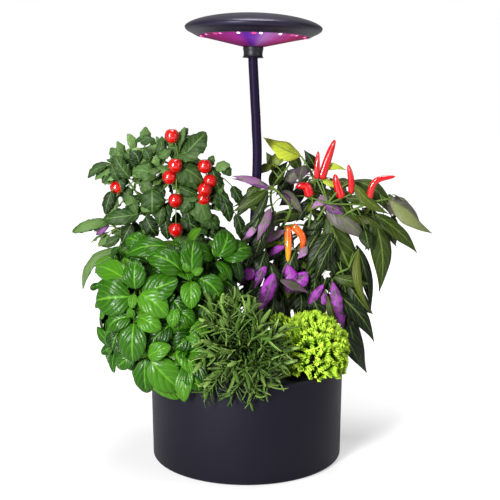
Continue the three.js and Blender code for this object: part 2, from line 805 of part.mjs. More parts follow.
function heatSpreader() {
  const bottom = -ledBoardDrop + clearance;
  const top = bottom + spreaderThickness;
  const disc = ring(hubRadius + clearance, spreaderRadius, bottom, top, 20);
  const finLength = spreaderRadius - 2 * hubRadius;
  const fins = around(finCount, (angle) => {
    const fin = new THREE.BoxGeometry(finLength, finThickness, finHeight + spreaderThickness / 2);
    fin.translate(spreaderRadius - overrun - finLength / 2, 0, top + finHeight / 2 - spreaderThickness / 4);
    return solid(fin.rotateZ(angle));
  });
  return join(disc, fins);
}

// Pods: basket, sponge and cap, the same five times
function netCup(place) {
  const under = deckTop + clearance;
  const slope = (cupRadius - cupFootRadius) / cupDepth;
  const throatRadius = cupRadius - cupWall;
  const profile = [
    [cupDrainRadius, cupBottom], [cupFootRadius, cupBottom], [cupRadius, under], [cupFlangeRadius, under],
    [cupFlangeRadius, cupTop], [throatRadius, cupTop], [throatRadius, under],
    [cupFootRadius - cupWall + slope * cupWall, cupBottom + cupWall], [cupDrainRadius, cupBottom + cupWall],
  ];
  const basket = solid(turned(profile, 14, true).translate(place.x, place.y, 0));
  const slots = around(cupSlotCount / 2, (angle) => {
    const bar = new THREE.BoxGeometry(2 * (cupRadius + overrun), cupSlotWidth, cupDepth - 2 * cupSlotMargin);
    return solid(bar.rotateZ(angle / 2).translate(place.x, place.y, deckTop - cupDepth / 2));
  });
  return cut(basket, slots);
}

function growSponge(place) {
  const bottom = cupBottom + cupWall + clearance;
  const under = deckTop + clearance;
  const foot = cupFootRadius - cupWall - clearance;
  const top = cupRadius - cupWall - 2 * clearance;
  const profile = [[0, bottom], [foot, bottom], [top, Math.min(under, spongeTop)], [0, spongeTop]];
  return solid(turned(profile, 12).translate(place.x, place.y, 0));
}

function cupCap(place) {
  const outer = cupRadius - cupWall - clearance;
  return ring(capHoleRadius, outer, capBottom, cupTop, 14).translate([place.x, place.y, 0]);
}

// Plants. Every place, width and reach in a plant's tables is a share of its branch length, counted from
// the middle of its pod on the deck's top. A plant's stems come first, then its leaves and its fruit.
// Stems as lists of points, thickest first
const tomatoStemShares = [
  [[0, 0, 0.045], [-0.10, 0.02, 0.52], [-0.27, 0, 1.22], [-0.37, -0.04, 2.12]],
  [[-0.20, 0.01, 0.92], [-0.60, 0.03, 1.42], [-0.90, 0.03, 1.82], [-1.02, 0.01, 2.02]],
  [[-0.10, 0.02, 0.52], [-0.55, 0.02, 1.02], [-1.05, -0.02, 1.34]],
  [[-0.27, 0, 1.22], [-0.13, -0.02, 1.62], [0.02, -0.04, 1.92]],
  [[-0.33, -0.02, 1.70], [-0.60, 0, 1.97], [-0.82, -0.01, 2.08]],
  [[-0.34, -0.03, 1.86], [-0.44, -0.04, 2.10], [-0.53, -0.04, 2.24]],
];
const basilStemShares = [
  [[0, 0, 0.045], [-0.04, -0.03, 0.30], [-0.08, -0.06, 0.52]],
  [[-0.04, -0.03, 0.30], [-0.40, -0.05, 0.75], [-0.68, -0.06, 1.05]],
  [[-0.04, -0.03, 0.30], [-0.34, -0.16, 0.62], [-0.50, -0.26, 0.82]],
  [[-0.02, -0.02, 0.18], [-0.34, -0.22, 0.42], [-0.53, -0.34, 0.59]],
  [[-0.01, -0.01, 0.10], [-0.24, -0.28, 0.18], [-0.40, -0.44, 0.21]],
  [[-0.01, -0.01, 0.10], [-0.02, -0.40, 0.24], [-0.01, -0.64, 0.29]],
  [[-0.02, -0.02, 0.18], [-0.10, -0.22, 0.42], [-0.15, -0.37, 0.58]],
  [[-0.08, -0.06, 0.52], [0.00, -0.14, 0.80], [0.02, -0.17, 1.00]],
  [[-0.08, -0.06, 0.52], [0.10, -0.10, 0.90], [0.28, -0.10, 1.16]],
  [[-0.08, -0.06, 0.52], [-0.34, 0.10, 0.90], [-0.46, 0.18, 1.19]],
  [[-0.08, -0.06, 0.52], [-0.10, 0.06, 0.94], [-0.05, 0.13, 1.26]],
  [[-0.04, -0.03, 0.30], [-0.22, 0.14, 0.60], [-0.33, 0.24, 0.82]],
  [[-0.04, -0.03, 0.30], [-0.40, 0.02, 0.56], [-0.66, 0.04, 0.70]],
];
const chiliStemShares = [
  [[0, 0, 0.045], [0.15, -0.10, 0.62], [0.29, -0.18, 1.27], [0.37, -0.20, 1.87]],
  [[0.24, -0.16, 1.07], [0.60, -0.26, 1.47], [0.90, -0.27, 1.64], [1.15, -0.25, 1.70]],
  [[0.15, -0.10, 0.62], [0.48, -0.34, 0.86], [0.72, -0.40, 0.98]],
  [[0.20, -0.13, 0.85], [0, -0.26, 1.37], [-0.10, -0.36, 1.77], [0.10, -0.28, 2.07]],
  [[0.29, -0.18, 1.27], [0.48, -0.26, 1.62], [0.62, -0.27, 1.80]],
  [[0.10, -0.06, 0.42], [-0.05, -0.34, 0.80], [-0.14, -0.40, 1.02]],
  [[0.37, -0.20, 1.87], [0.30, -0.19, 2.02], [0.22, -0.18, 2.14]],
  [[0, -0.26, 1.37], [0.10, -0.50, 1.62], [-0.04, -0.565, 1.82]],
  [[-0.05, -0.34, 0.80], [0, -0.53, 0.90], [-0.14, -0.575, 0.94]],
];
const rosemaryStemShares = [
  [[0, 0, 0.045], [-0.14, -0.04, 0.40], [-0.36, -0.14, 0.70]],
  [[0, 0, 0.045], [-0.08, 0, 0.46], [-0.22, -0.08, 0.86]],
  [[0, 0, 0.045], [0, 0, 0.46], [-0.04, -0.04, 0.90]],
  [[0, 0, 0.045], [-0.16, -0.12, 0.30], [-0.30, -0.26, 0.44]],
  [[0, 0, 0.045], [-0.04, -0.14, 0.34], [-0.10, -0.28, 0.58]],
  [[0, 0, 0.045], [0.08, -0.10, 0.40], [0.12, -0.20, 0.62]],
  [[0, 0, 0.045], [0.10, -0.18, 0.32], [0.24, -0.31, 0.50]],
  [[0, 0, 0.045], [0.16, -0.20, 0.26], [0.36, -0.33, 0.34]],
  [[0, 0, 0.045], [0.10, -0.24, 0.20], [0.24, -0.40, 0.20]],
  [[0, 0, 0.045], [0, -0.24, 0.20], [-0.01, -0.43, 0.20]],
  [[0, 0, 0.06], [-0.20, -0.32, 0.20], [-0.30, -0.44, 0.08], [-0.40, -0.46, -0.04]],
  [[0, 0, 0.06], [0.05, -0.34, 0.20], [0.09, -0.45, 0.06], [0.10, -0.46, -0.06]],
];

// Basil's leaves sit in rosettes at the ends of its stems. Each is a tip, counted from the rosette, and
// a width.
const basilRosetteShares = [
  { at: [-0.68, -0.06, 1.05], leaves: [[0.24, -0.12, -0.22, 0.30], [-0.28, -0.08, 0.04, 0.28],
    [-0.08, 0.14, 0.16, 0.26], [0.14, 0.10, 0.18, 0.24]] },
  { at: [-0.50, -0.26, 0.82], leaves: [[-0.42, -0.10, 0.10, 0.30], [-0.44, -0.06, -0.12, 0.28],
    [0.28, -0.14, -0.20, 0.26], [0.36, 0.02, 0.06, 0.30]] },
  { at: [-0.53, -0.34, 0.59], leaves: [[-0.26, -0.10, -0.14, 0.24], [0.26, -0.10, -0.12, 0.24],
    [-0.04, -0.14, -0.50, 0.28]] },
  { at: [-0.40, -0.44, 0.21], leaves: [[0.32, -0.18, -0.36, 0.30], [0.20, -0.06, 0.12, 0.20],
    [-0.14, -0.04, -0.20, 0.18]] },
  { at: [-0.01, -0.64, 0.29], leaves: [[-0.02, -0.14, -0.42, 0.20], [-0.16, -0.06, -0.06, 0.18]] },
  { at: [-0.15, -0.37, 0.58], leaves: [[-0.02, -0.12, -0.20, 0.14], [0.12, -0.04, 0.08, 0.14]] },
  { at: [0.02, -0.17, 1.00], leaves: [[-0.06, 0.02, 0.34, 0.30], [-0.03, -0.12, -0.28, 0.18],
    [0.24, -0.08, -0.20, 0.22], [-0.44, -0.04, 0.13, 0.28]] },
  { at: [0.28, -0.10, 1.16], leaves: [[0.08, 0.06, 0.28, 0.18], [0.35, 0.02, 0.04, 0.24],
    [0.09, -0.10, -0.24, 0.10]] },
  { at: [-0.46, 0.18, 1.19], leaves: [[-0.22, 0.04, 0.12, 0.26], [0.20, 0, 0.12, 0.26]] },
  { at: [-0.05, 0.13, 1.26], leaves: [[0.16, -0.04, 0.17, 0.20], [-0.20, 0, 0.10, 0.24]] },
  { at: [-0.33, 0.24, 0.82], leaves: [[-0.24, 0.06, 0.06, 0.26], [0.22, 0.04, 0.08, 0.24]] },
  { at: [-0.66, 0.04, 0.70], leaves: [[-0.24, 0.10, -0.10, 0.26], [-0.10, 0.12, -0.30, 0.24]] },
];

// The basil's other shoots stand all round a dome, each with a pair of leaves across it
const basilDomeShares = {
  middle: [-0.23, -0.195, 0.52],
  reach: [0.45, 0.35, 0.58],
  count: 18,
  top: 0.95,
  bottom: -0.4,
  across: [-0.3, 0.5, 0.8],
  bent: [0, -0.3, 0.3],
  right: 0.37,
  back: 0.22,
  length: 0.40,
  lift: 0.15,
  width: 0.26,
};

// Leaves along every stretch of a stem: how many, how they stand out, and the limits that their tips keep to
const tomatoSprayShares = {
  count: 2, lowest: 0.5, depth: 0.7, lift: -0.2, length: 0.3, width: 0.17,
  within: ([x, y, z]) => x < 0.21 && y > -0.28 && z > 0.3,
};
const chiliSprayShares = {
  count: 1, lowest: 0.5, depth: 0.6, lift: -0.5, length: 0.42, width: 0.15,
  within: ([x, y, z]) => x > -0.17 && y > -0.56 && z > 0.36,
};

// Leaves of the tomato and the chili: base, tip, width, arch and sway
const tomatoLeafShares = [
  [[-0.35, -0.04, 2.11], [-0.07, -0.06, 2.32], 0.28, 0.08, 0],
  [[-0.37, -0.10, 2.02], [-0.11, -0.12, 1.85], 0.22, 0.08, 0],
  [[-0.57, -0.08, 1.76], [-0.77, -0.12, 1.54], 0.25, 0.10, 0],
  [[-0.65, -0.04, 2.02], [-0.90, -0.06, 1.93], 0.20, 0.10, 0],
  [[-0.73, 0, 2.05], [-0.93, 0, 2.20], 0.18, 0.10, 0],
  [[-0.93, 0.02, 2.02], [-1.09, 0, 2.12], 0.12, 0.15, 0],
  [[-0.93, 0, 2.00], [-1.07, -0.04, 1.90], 0.14, 0.10, 0],
  [[-0.91, 0.02, 2.04], [-0.99, 0.02, 2.20], 0.12, 0.10, 0],
  [[-1.05, 0, 2.00], [-1.35, -0.04, 1.90], 0.08, 0.10, 0.22],
  [[-1.07, -0.01, 1.74], [-1.17, -0.04, 1.47], 0.12, 0.10, -0.15],
  [[-0.83, -0.02, 1.70], [-0.86, -0.08, 1.48], 0.10, 0.10, 0],
  [[-0.93, -0.02, 1.52], [-1.15, -0.08, 1.42], 0.20, 0.10, 0],
  [[-1.13, -0.04, 1.42], [-1.51, -0.10, 1.31], 0.14, 0.12, 0],
  [[-1.13, -0.04, 1.28], [-1.25, -0.08, 1.16], 0.10, 0.10, 0],
  [[-1.03, -0.06, 1.14], [-1.42, -0.14, 0.70], 0.12, 0.10, 0.16],
  [[-0.99, -0.04, 1.12], [-1.28, -0.10, 0.88], 0.08, 0.10, 0.08],
  [[-0.53, -0.04, 2.18], [-0.61, -0.04, 2.34], 0.08, 0.10, 0],
  [[-0.36, -0.06, 2.24], [-0.30, -0.06, 2.44], 0.08, 0.10, 0],
  [[-0.25, -0.08, 1.66], [-0.07, -0.14, 1.40], 0.18, 0.10, 0],
  [[-0.31, -0.08, 1.64], [-0.25, -0.14, 1.40], 0.14, 0.10, 0],
  [[-0.49, -0.04, 1.64], [-0.53, -0.10, 1.40], 0.14, 0.10, 0],
  [[0.01, -0.06, 2.00], [0.18, -0.10, 2.04], 0.14, 0.10, 0],
  [[0, -0.04, 1.94], [0.09, -0.10, 1.74], 0.14, 0.10, 0],
  [[-0.05, -0.04, 2.02], [0, -0.06, 2.14], 0.10, 0.10, 0],
  [[-0.01, -0.04, 1.78], [0.17, -0.12, 1.64], 0.14, 0.10, 0],
  [[-0.13, -0.06, 1.52], [0.05, -0.12, 1.34], 0.16, 0.10, 0],
];
const chiliLeafShares = [
  [[0.22, -0.18, 2.14], [-0.18, -0.22, 2.34], 0.22, 0.06, -0.12],
  [[-0.13, -0.26, 2.02], [0.11, -0.24, 2.22], 0.14, 0.10, 0],
  [[-0.09, -0.34, 2.07], [-0.27, -0.40, 1.96], 0.10, 0.10, 0],
  [[-0.08, -0.555, 1.83], [-0.50, -0.58, 1.94], 0.08, 0, 0],
  [[0.13, -0.24, 1.64], [-0.05, -0.28, 1.78], 0.10, 0.10, 0],
  [[-0.08, -0.34, 1.58], [-0.22, -0.40, 1.24], 0.08, 0.10, -0.15],
  [[-0.13, -0.36, 1.77], [-0.50, -0.34, 1.62], 0.08, 0.04, 0],
  [[1.15, -0.26, 1.69], [1.60, -0.32, 1.34], 0.16, 0.10, 0.14],
  [[1.11, -0.28, 1.51], [1.42, -0.34, 1.11], 0.10, 0.08, 0.12],
  [[0.97, -0.30, 1.48], [1.02, -0.40, 0.69], 0.24, 0.08, 0.16],
  [[0.77, -0.24, 1.86], [1.15, -0.28, 1.54], 0.14, 0.10, 0.14],
  [[0.83, -0.34, 1.18], [0.96, -0.40, 0.52], 0.10, 0.06, 0.14],
  [[0.53, -0.34, 1.48], [0.81, -0.40, 0.80], 0.28, 0.10, 0],
  [[0.69, -0.38, 0.92], [0.99, -0.42, 0.15], 0.14, 0.06, 0.08],
  [[0.55, -0.40, 0.84], [0.65, -0.44, 0.34], 0.12, 0.08, 0],
  [[0.61, -0.40, 0.64], [0.90, -0.44, -0.20], 0.16, 0.06, 0.06],
  [[0.49, -0.40, 0.70], [0.61, -0.43, 0.20], 0.10, 0.06, 0],
  [[0.89, -0.28, 1.38], [0.93, -0.36, 1.16], 0.16, 0.08, 0],
  [[0.47, -0.28, 1.64], [0.67, -0.34, 1.54], 0.12, 0.10, 0],
  [[-0.25, -0.56, 0.94], [-0.44, -0.58, 0.82], 0.10, 0, 0],
  [[-0.17, -0.40, 1.00], [-0.23, -0.40, 0.74], 0.06, 0, 0],
  [[-0.05, -0.42, 0.92], [-0.15, -0.48, 0.52], 0.12, 0.06, 0],
  [[0.07, -0.38, 0.96], [0.08, -0.44, 0.65], 0.18, 0.08, 0],
  [[0.27, -0.36, 0.90], [0.15, -0.42, 0.67], 0.14, 0.08, 0],
  [[0.47, -0.36, 0.76], [0.43, -0.42, 0.52], 0.10, 0.08, 0],
  [[0.45, -0.32, 1.30], [0.30, -0.40, 0.89], 0.18, 0.08, 0],
  [[0.57, -0.32, 1.26], [0.45, -0.36, 1.10], 0.10, 0.08, 0],
  [[0.09, -0.34, 1.26], [-0.30, -0.36, 1.16], 0.06, 0.04, 0],
];

// Leaves on the side away from the lamp's front: height of each turn of leaves, its middle, reach and count
const tomatoBackShares = [
  { at: [-0.25, 0.08, 1.15], reach: [0.40, 0.30, -0.20], width: 0.18, count: 2, from: 40, to: 130 },
  { at: [-0.42, 0.04, 1.60], reach: [0.42, 0.32, -0.10], width: 0.19, count: 3, from: 25, to: 155 },
  { at: [-0.60, 0.02, 1.95], reach: [0.30, 0.30, 0.06], width: 0.16, count: 2, from: 50, to: 130 },
];
const chiliBackShares = [
  { at: [0.20, -0.12, 1.00], reach: [0.45, 0.46, -0.34], width: 0.18, count: 2, from: 30, to: 110 },
  { at: [0.30, -0.16, 1.50], reach: [0.48, 0.44, -0.30], width: 0.18, count: 3, from: 20, to: 140 },
  { at: [0.36, -0.20, 1.86], reach: [0.40, 0.40, -0.04], width: 0.14, count: 2, from: 50, to: 140 },
];

// Fruit: tomatoes as middles on a stalk, peppers as curved middles from stalk end to tip with a radius
const tomatoTrussShares = {
  tomato_truss_mid: {
    stalk: [[-0.37, -0.065, 2.10], [-0.39, -0.14, 1.90], [-0.40, -0.15, 1.60], [-0.405, -0.15, 1.40]],
    fruit: [[-0.435, -0.14, 2.35], [-0.40, -0.20, 2.045], [-0.465, -0.13, 1.915], [-0.405, -0.15, 1.67],
      [-0.405, -0.15, 1.355]],
  },
  tomato_truss_right: {
    stalk: [[-0.03, -0.065, 1.82], [-0.075, -0.10, 1.90], [-0.07, -0.12, 1.80], [-0.11, -0.11, 1.68]],
    fruit: [[-0.09, -0.12, 2.03], [-0.035, -0.10, 1.87], [-0.09, -0.17, 1.785], [-0.11, -0.09, 1.675]],
  },
  tomato_left: {
    stalk: [[-0.99, -0.015, 1.96], [-1.02, -0.02, 1.88], [-1.045, 0.01, 1.82]],
    fruit: [[-1.045, 0.01, 1.79]],
  },
};
const pepperShares = {
  chili_fruit_red: {
    crown: [0.50, -0.29, 1.65],
    fruit: [
      [[0.38, -0.25, 1.91], [0.385, -0.26, 2.05], [0.395, -0.26, 2.20], 0.027],
      [[0.43, -0.22, 1.90], [0.50, -0.225, 2.12], [0.57, -0.24, 2.32], 0.04],
      [[0.65, -0.24, 1.70], [0.60, -0.25, 1.84], [0.57, -0.26, 1.96], 0.04],
      [[0.75, -0.24, 1.75], [0.74, -0.25, 1.92], [0.71, -0.26, 2.06], 0.032],
      [[0.92, -0.26, 1.64], [0.99, -0.29, 1.88], [1.20, -0.31, 1.94], 0.032],
      [[0.31, -0.25, 1.72], [0.27, -0.26, 1.83], [0.16, -0.28, 1.83], 0.045],
    ],
  },
  chili_fruit_orange: {
    crown: [-0.02, -0.30, 1.40],
    fruit: [
      [[0.08, -0.33, 1.42], [0.085, -0.38, 1.22], [0.08, -0.38, 1.04], 0.035],
      [[0.13, -0.33, 1.43], [0.22, -0.36, 1.30], [0.21, -0.36, 1.14], 0.045],
    ],
  },
};

const lettuceLeanShares = [0.26, -0.66]; // how far the head leans from its pod
const lettuceHeadShares = { middle: 0.58, reach: [1.03, 1.04, 1.2] };
const lettuceTuftShares = { at: [-0.66, -0.16, 1.36], reach: [0.28, 0.22, 0.24] };
const frillShare = 0.06;

function planter(name, spread) {
  const foot = podPlace(podNames.indexOf(name)).setZ(deckTop);
  return ([x, y, z]) => new THREE.Vector3(x, y, z).multiplyScalar(spread).add(foot);
}

// A closed skin over rings of points, ending in a point or in a flat face at each end
function loft(rings, start, end) {
  const sides = rings[0].length;
  const points = [...(start ? [start] : []), ...rings.flat(), ...(end ? [end] : [])];
  const first = start ? 1 : 0;
  const corner = (row, k) => first + row * sides + (k % sides);
  const faces = [];
  for (let k = 0; k < sides; k += 1) {
    for (let row = 0; row + 1 < rings.length; row += 1) {
      faces.push(corner(row, k), corner(row, k + 1), corner(row + 1, k + 1));
      faces.push(corner(row, k), corner(row + 1, k + 1), corner(row + 1, k));
    }
    if (start) faces.push(0, corner(0, k + 1), corner(0, k));
    else if (k > 1) faces.push(corner(0, 0), corner(0, k), corner(0, k - 1));
    const last = rings.length - 1;
    if (end) faces.push(points.length - 1, corner(last, k), corner(last, k + 1));
    else if (k > 1) faces.push(corner(last, 0), corner(last, k - 1), corner(last, k));
  }
  const geometry = new THREE.BufferGeometry().setFromPoints(points);
  geometry.setIndex(faces);
  return solid(geometry);
}

// A round strand with a ring at each of its points, ending flat or in a point
function strand(points, radii, sides, pointed = false) {
  const across = new THREE.Vector3(1, 0, 0);
  const rings = radii.map((radius, i) => {
    const centre = points[i];
    const next = points[Math.min(i + 1, points.length - 1)];
    const along = next.clone().sub(points[Math.max(i - 1, 0)]).normalize();
    if (Math.abs(across.dot(along)) > 0.9) across.set(0, 0, 1);
    across.addScaledVector(along, -across.dot(along)).normalize();
    const beside = along.clone().cross(across);
    return around(sides, (angle) => centre.clone()
      .addScaledVector(across, radius * Math.cos(angle)).addScaledVector(beside, radius * Math.sin(angle)));
  });
  return loft(rings, null, pointed ? points[points.length - 1] : null);
}

// Places along the middle of a strand, spaced evenly between its rings
function places(points, steps = 5) {
  return points.slice(1).flatMap((point, i) => Array.from({ length: steps }, (_, k) => (
    points[i].clone().lerp(point, (k + 1) / (steps + 1)))));
}

function nearest(points, place) {
  return points.reduce((best, point) => (point.distanceTo(place) < best.distanceTo(place) ? point : best));
}

// A leaf from a place inside its stem to its tip, flat above and ridged below. The base is where the blade
// starts to widen.
function leaf({ from, base, tip, width, arch = 0.1, sway = 0, facing }) {
  const along = tip.clone().sub(base);
  const length = along.length();
  along.normalize();
  const normal = facing.clone().addScaledVector(along, -facing.dot(along)).normalize();
  const side = along.clone().cross(normal);
  const section = (middle, halfWidth) => [
    middle.clone().addScaledVector(side, halfWidth),
    middle.clone().addScaledVector(side, -halfWidth),
    middle.clone().addScaledVector(normal, -leafThickness - halfWidth * leafFold),
  ];
  const blade = (share, widthShare) => {
    const bulge = 4 * share * (1 - share) * length;
    const middle = base.clone().addScaledVector(along, share * length)
      .addScaledVector(normal, arch * bulge).addScaledVector(side, sway * bulge);
    return section(middle, (widthShare * width) / 2);
  };
  const rings = width < smallLeafWidth ? [blade(0.45, 1)] : [blade(0.36, 1), blade(0.7, 0.78)];
  return loft([section(from, stalkWidth / 2), ...rings], null, tip);
}

// The stems of a plant, and places along them for leaves to grow from
function stems(table, at, radius, sides = 4) {
  const solids = [];
  const nodes = [];
  table.forEach((shares, i) => {
    const points = shares.map(at);
    const foot = i === 0 ? radius : branchRadius;
    const radii = points.map((_, k) => THREE.MathUtils.lerp(foot, twigRadius, k / (points.length - 1)));
    solids.push(strand(points, radii, sides));
    nodes.push(...places(points));
  });
  return { solids, nodes };
}

function tableLeaves(table, at, spread, nodes) {
  const facing = new THREE.Vector3(0, -0.8, 0.6); // to the front and up
  return table.map(([base, tip, width, arch, sway]) => leaf({
    from: nearest(nodes, at(base)), base: at(base), tip: at(tip), width: width * spread, arch, sway, facing,
  }));
}

// Each leaf of a spray is turned on by the golden angle from the one below it
function sprayLeaves(table, spray, at, spread) {
  const { count, lowest, depth, lift, length, width, within } = spray;
  return table.flatMap((shares, row) => {
    const line = shares.map((share) => new THREE.Vector3(...share));
    return places(line, count).flatMap((base, i) => {
      const turn = goldenTurn * (i + 1) + row;
      const out = new THREE.Vector3(Math.cos(turn), depth * Math.sin(turn), lift);
      const tip = base.clone().addScaledVector(out, length * (1 + ((i % 5) - 2) / 10));
      if (base.z < lowest || !within(tip.toArray())) return [];
      const start = at(base.toArray());
      const end = at(tip.toArray());
      const facing = new THREE.Vector3(0.3 * Math.cos(turn), -0.5, 0.8);
      const foot = start.clone().lerp(end, 0.15);
      return [leaf({ from: start, base: foot, tip: end, width: width * spread, facing })];
    });
  });
}

// Shoots that stand out of a dome on stalks of their own
function domeShoots(dome, at, spread, nodes) {
  const { middle, reach, count, top, bottom, across, bent, right, back, length, lift, width } = dome;
  return Array.from({ length: count }, (_, k) => k).flatMap((k) => {
    const turn = goldenTurn * k + top / 2;
    const rise = THREE.MathUtils.lerp(top, bottom, k / count);
    const flat = Math.sqrt(1 - rise ** 2);
    const out = new THREE.Vector3(flat * Math.cos(turn), flat * Math.sin(turn), rise);
    const share = middle.map((value, i) => value + reach[i] * out.getComponent(i));
    if (share[0] > right || share[1] > back) return [];
    const base = at(share);
    const axis = out.add(new THREE.Vector3(...bent)).normalize();
    const beside = axis.clone().cross(new THREE.Vector3(...across)).normalize();
    const leaves = [1, -1].map((side) => {
      const way = beside.clone().multiplyScalar(side).addScaledVector(axis, lift).normalize();
      return leaf({
        from: base.clone().addScaledVector(axis, side * twigRadius / 2),
        base: base.clone().addScaledVector(way, branchRadius),
        tip: base.clone().addScaledVector(way, length * spread),
        width: width * spread,
        facing: axis,
      });
    });
    return [strand([nearest(nodes, base), base.clone().addScaledVector(axis, twigRadius)],
      [branchRadius, branchRadius], 4), ...leaves];
  });
}

function backLeaves(table, at, spread, nodes) {
  return table.flatMap(({ at: place, reach, width, count, from, to }) => around(count, (_, i) => {
    const angle = THREE.MathUtils.degToRad(THREE.MathUtils.lerp(from, to, i / (count - 1)));
    const middle = at(place);
    const outward = new THREE.Vector3(reach[0] * Math.cos(angle), reach[1] * Math.sin(angle), reach[2]);
    const start = nearest(nodes, middle);
    return leaf({
      from: start,
      base: start.clone().addScaledVector(outward, spread / 4),
      tip: middle.clone().addScaledVector(outward, spread),
      width: width * spread,
      facing: new THREE.Vector3(Math.cos(angle), Math.sin(angle), 1),
    });
  }));
}

// The space that the plants' leaves stay out of: the pot up to its rim
function keptClear() {
  return rod(potRimRadius + 2 * clearance, potUnder, potRimHeight + clearance, 40);
}

function stemBase(name) {
  const place = podPlace(podNames.indexOf(name));
  return rod(stemRadius, stemFoot, potRimHeight + stemRadius, 8, place.x, place.y);
}

// A plant's parts in one piece with its foot in the pod, without any slivers that the cuts leave
function trimmed(name, parts, fruit = []) {
  const plant = cut(join(cut(join(parts[0], parts.slice(1)), keptClear()), stemBase(name)), fruit);
  return plant.decompose().reduce((best, piece) => (piece.volume() > best.volume() ? piece : best));
}

const basilFacing = new THREE.Vector3(0, -0.4, 0.8); // added to each rosette's way out

function basilPlant() {
  const at = planter('basil', basilBranchLength);
  const { solids, nodes } = stems(basilStemShares, at, stemRadius);
  const leaves = basilRosetteShares.flatMap(({ at: place, leaves: rows }) => {
    const base = at(place);
    const facing = base.clone().setZ(0).normalize().multiplyScalar(0.5).add(basilFacing);
    return rows.map(([x, y, z, width], i) => {
      const tip = new THREE.Vector3(x, y, z).multiplyScalar(basilBranchLength).add(base);
      const from = base.clone().lerp(nearest(nodes, base), (i + 0.5) / rows.length);
      return leaf({ from, base, tip, width: width * basilBranchLength, facing });
    });
  });
  const shoots = domeShoots(basilDomeShares, at, basilBranchLength, nodes);
  return trimmed('basil', [...solids, ...leaves, ...shoots]);
}

// A truss of round fruit, each on a short spur from the truss's stalk
function tomatoTruss(name, grow = 0) {
  const at = planter('tomato', tomatoBranchLength);
  const { stalk, fruit } = tomatoTrussShares[name];
  const line = stalk.map(at);
  const thin = (points) => strand(points, points.map(() => trussRadius + grow), 3);
  const parts = fruit.map(at).flatMap((centre) => {
    const ball = new THREE.SphereGeometry(tomatoRadius + grow, 7, 4).rotateX(Math.PI / 2);
    const spur = thin([nearest(places(line), centre), centre]);
    return [solid(ball.translate(centre.x, centre.y, centre.z)), spur];
  });
  return join(thin(line), parts);
}

function tomatoPlant() {
  const at = planter('tomato', tomatoBranchLength);
  const { solids, nodes } = stems(tomatoStemShares, at, stemRadius);
  const leaves = [
    ...tableLeaves(tomatoLeafShares, at, tomatoBranchLength, nodes),
    ...backLeaves(tomatoBackShares, at, tomatoBranchLength, nodes),
    ...sprayLeaves(tomatoStemShares, tomatoSprayShares, at, tomatoBranchLength),
  ];
  const fruit = Object.keys(tomatoTrussShares).map((name) => tomatoTruss(name, clearance));
  return trimmed('tomato', [...solids, ...leaves], fruit);
}

function pepperBunch(name, grow = 0) {
  const at = planter('chili', chiliBranchLength);
  const { crown, fruit } = pepperShares[name];
  const parts = fruit.flatMap(([foot, middle, tip, radiusShare]) => {
    const radius = radiusShare * chiliBranchLength + grow;
    const stalk = strand([at(crown), at(foot)], [pepperStalkRadius + grow, pepperStalkRadius + grow], 4);
    const body = strand([at(foot), at(middle), at(tip)], [0.8 * radius, radius], 6, true);
    return [stalk, body];
  });
  return join(parts[0], parts.slice(1));
}

function chiliPlant() {
  const at = planter('chili', chiliBranchLength);
  const { solids, nodes } = stems(chiliStemShares, at, stemRadius);
  const leaves = [
    ...tableLeaves(chiliLeafShares, at, chiliBranchLength, nodes),
    ...backLeaves(chiliBackShares, at, chiliBranchLength, nodes),
    ...sprayLeaves(chiliStemShares, chiliSprayShares, at, chiliBranchLength),
  ];
  const fruit = Object.keys(pepperShares).map((name) => pepperBunch(name, clearance));
  return trimmed('chili', [...solids, ...leaves], fruit);
}

function rosemaryPlant() {
  const at = planter('rosemary', rosemaryBranchLength);
  const { solids } = stems(rosemaryStemShares, at, stemRadius, 3);
  const needles = rosemaryStemShares.flatMap((shares, row) => {
    const sprig = places(shares.map(at), needlesPerSprig).slice(-needlesPerSprig);
    const along = sprig[1].clone().sub(sprig[0]).normalize();
    return sprig.map((base, i) => {
      const angle = goldenTurn * i + row;
      const outward = new THREE.Vector3(Math.cos(angle), 0.5 * Math.sin(angle) - 0.3, 0.6 * Math.sin(angle));
      const way = outward.add(along).normalize();
      return needle(base, base.clone().addScaledVector(way, needleLength));
    });
  });
  return trimmed('rosemary', [...solids, ...needles]);
}

// A narrow leaf with three sides
function needle(base, tip) {
  const along = tip.clone().sub(base).normalize();
  const across = new THREE.Vector3(0, 0, 1).cross(along).normalize();
  const beside = along.clone().cross(across);
  const middle = base.clone().lerp(tip, 0.5);
  const half = needleWidth / 2;
  const section = [[1, 0], [-1, 0], [0, -0.8]].map(([a, b]) => middle.clone()
    .addScaledVector(across, a * half).addScaledVector(beside, b * half));
  return loft([section], base, tip);
}

// The lettuce head is a frilled ball that spills over the rim, with a loose tuft beside it
function lettucePlant() {
  const at = planter('lettuce', lettuceHeadRadius);
  const [leanX, leanY] = lettuceLeanShares;
  const ball = (place, reach, across, down) => {
    const geometry = new THREE.SphereGeometry(1, across, down).rotateX(Math.PI / 2);
    const places = geometry.attributes.position;
    const point = new THREE.Vector3();
    for (let i = 0; i < places.count; i += 1) {
      point.fromBufferAttribute(places, i);
      const turn = Math.atan2(point.y, point.x);
      const tilt = Math.acos(THREE.MathUtils.clamp(point.z, -1, 1));
      const flat = Math.sin(tilt);
      const frill = 1 + frillShare * flat * Math.sin(7 * turn + 3 * tilt) * Math.sin(5 * tilt);
      places.setXYZ(i, point.x * reach[0] * frill, point.y * reach[1] * frill, point.z * reach[2] * frill);
    }
    geometry.scale(lettuceHeadRadius, lettuceHeadRadius, lettuceHeadRadius);
    const centre = at(place);
    return solid(geometry.translate(centre.x, centre.y, centre.z));
  };
  const head = ball([leanX, leanY, lettuceHeadShares.middle], lettuceHeadShares.reach, 16, 8);
  const tuft = ball(lettuceTuftShares.at, lettuceTuftShares.reach, 7, 4);
  return trimmed('lettuce', [head, tuft]);
}

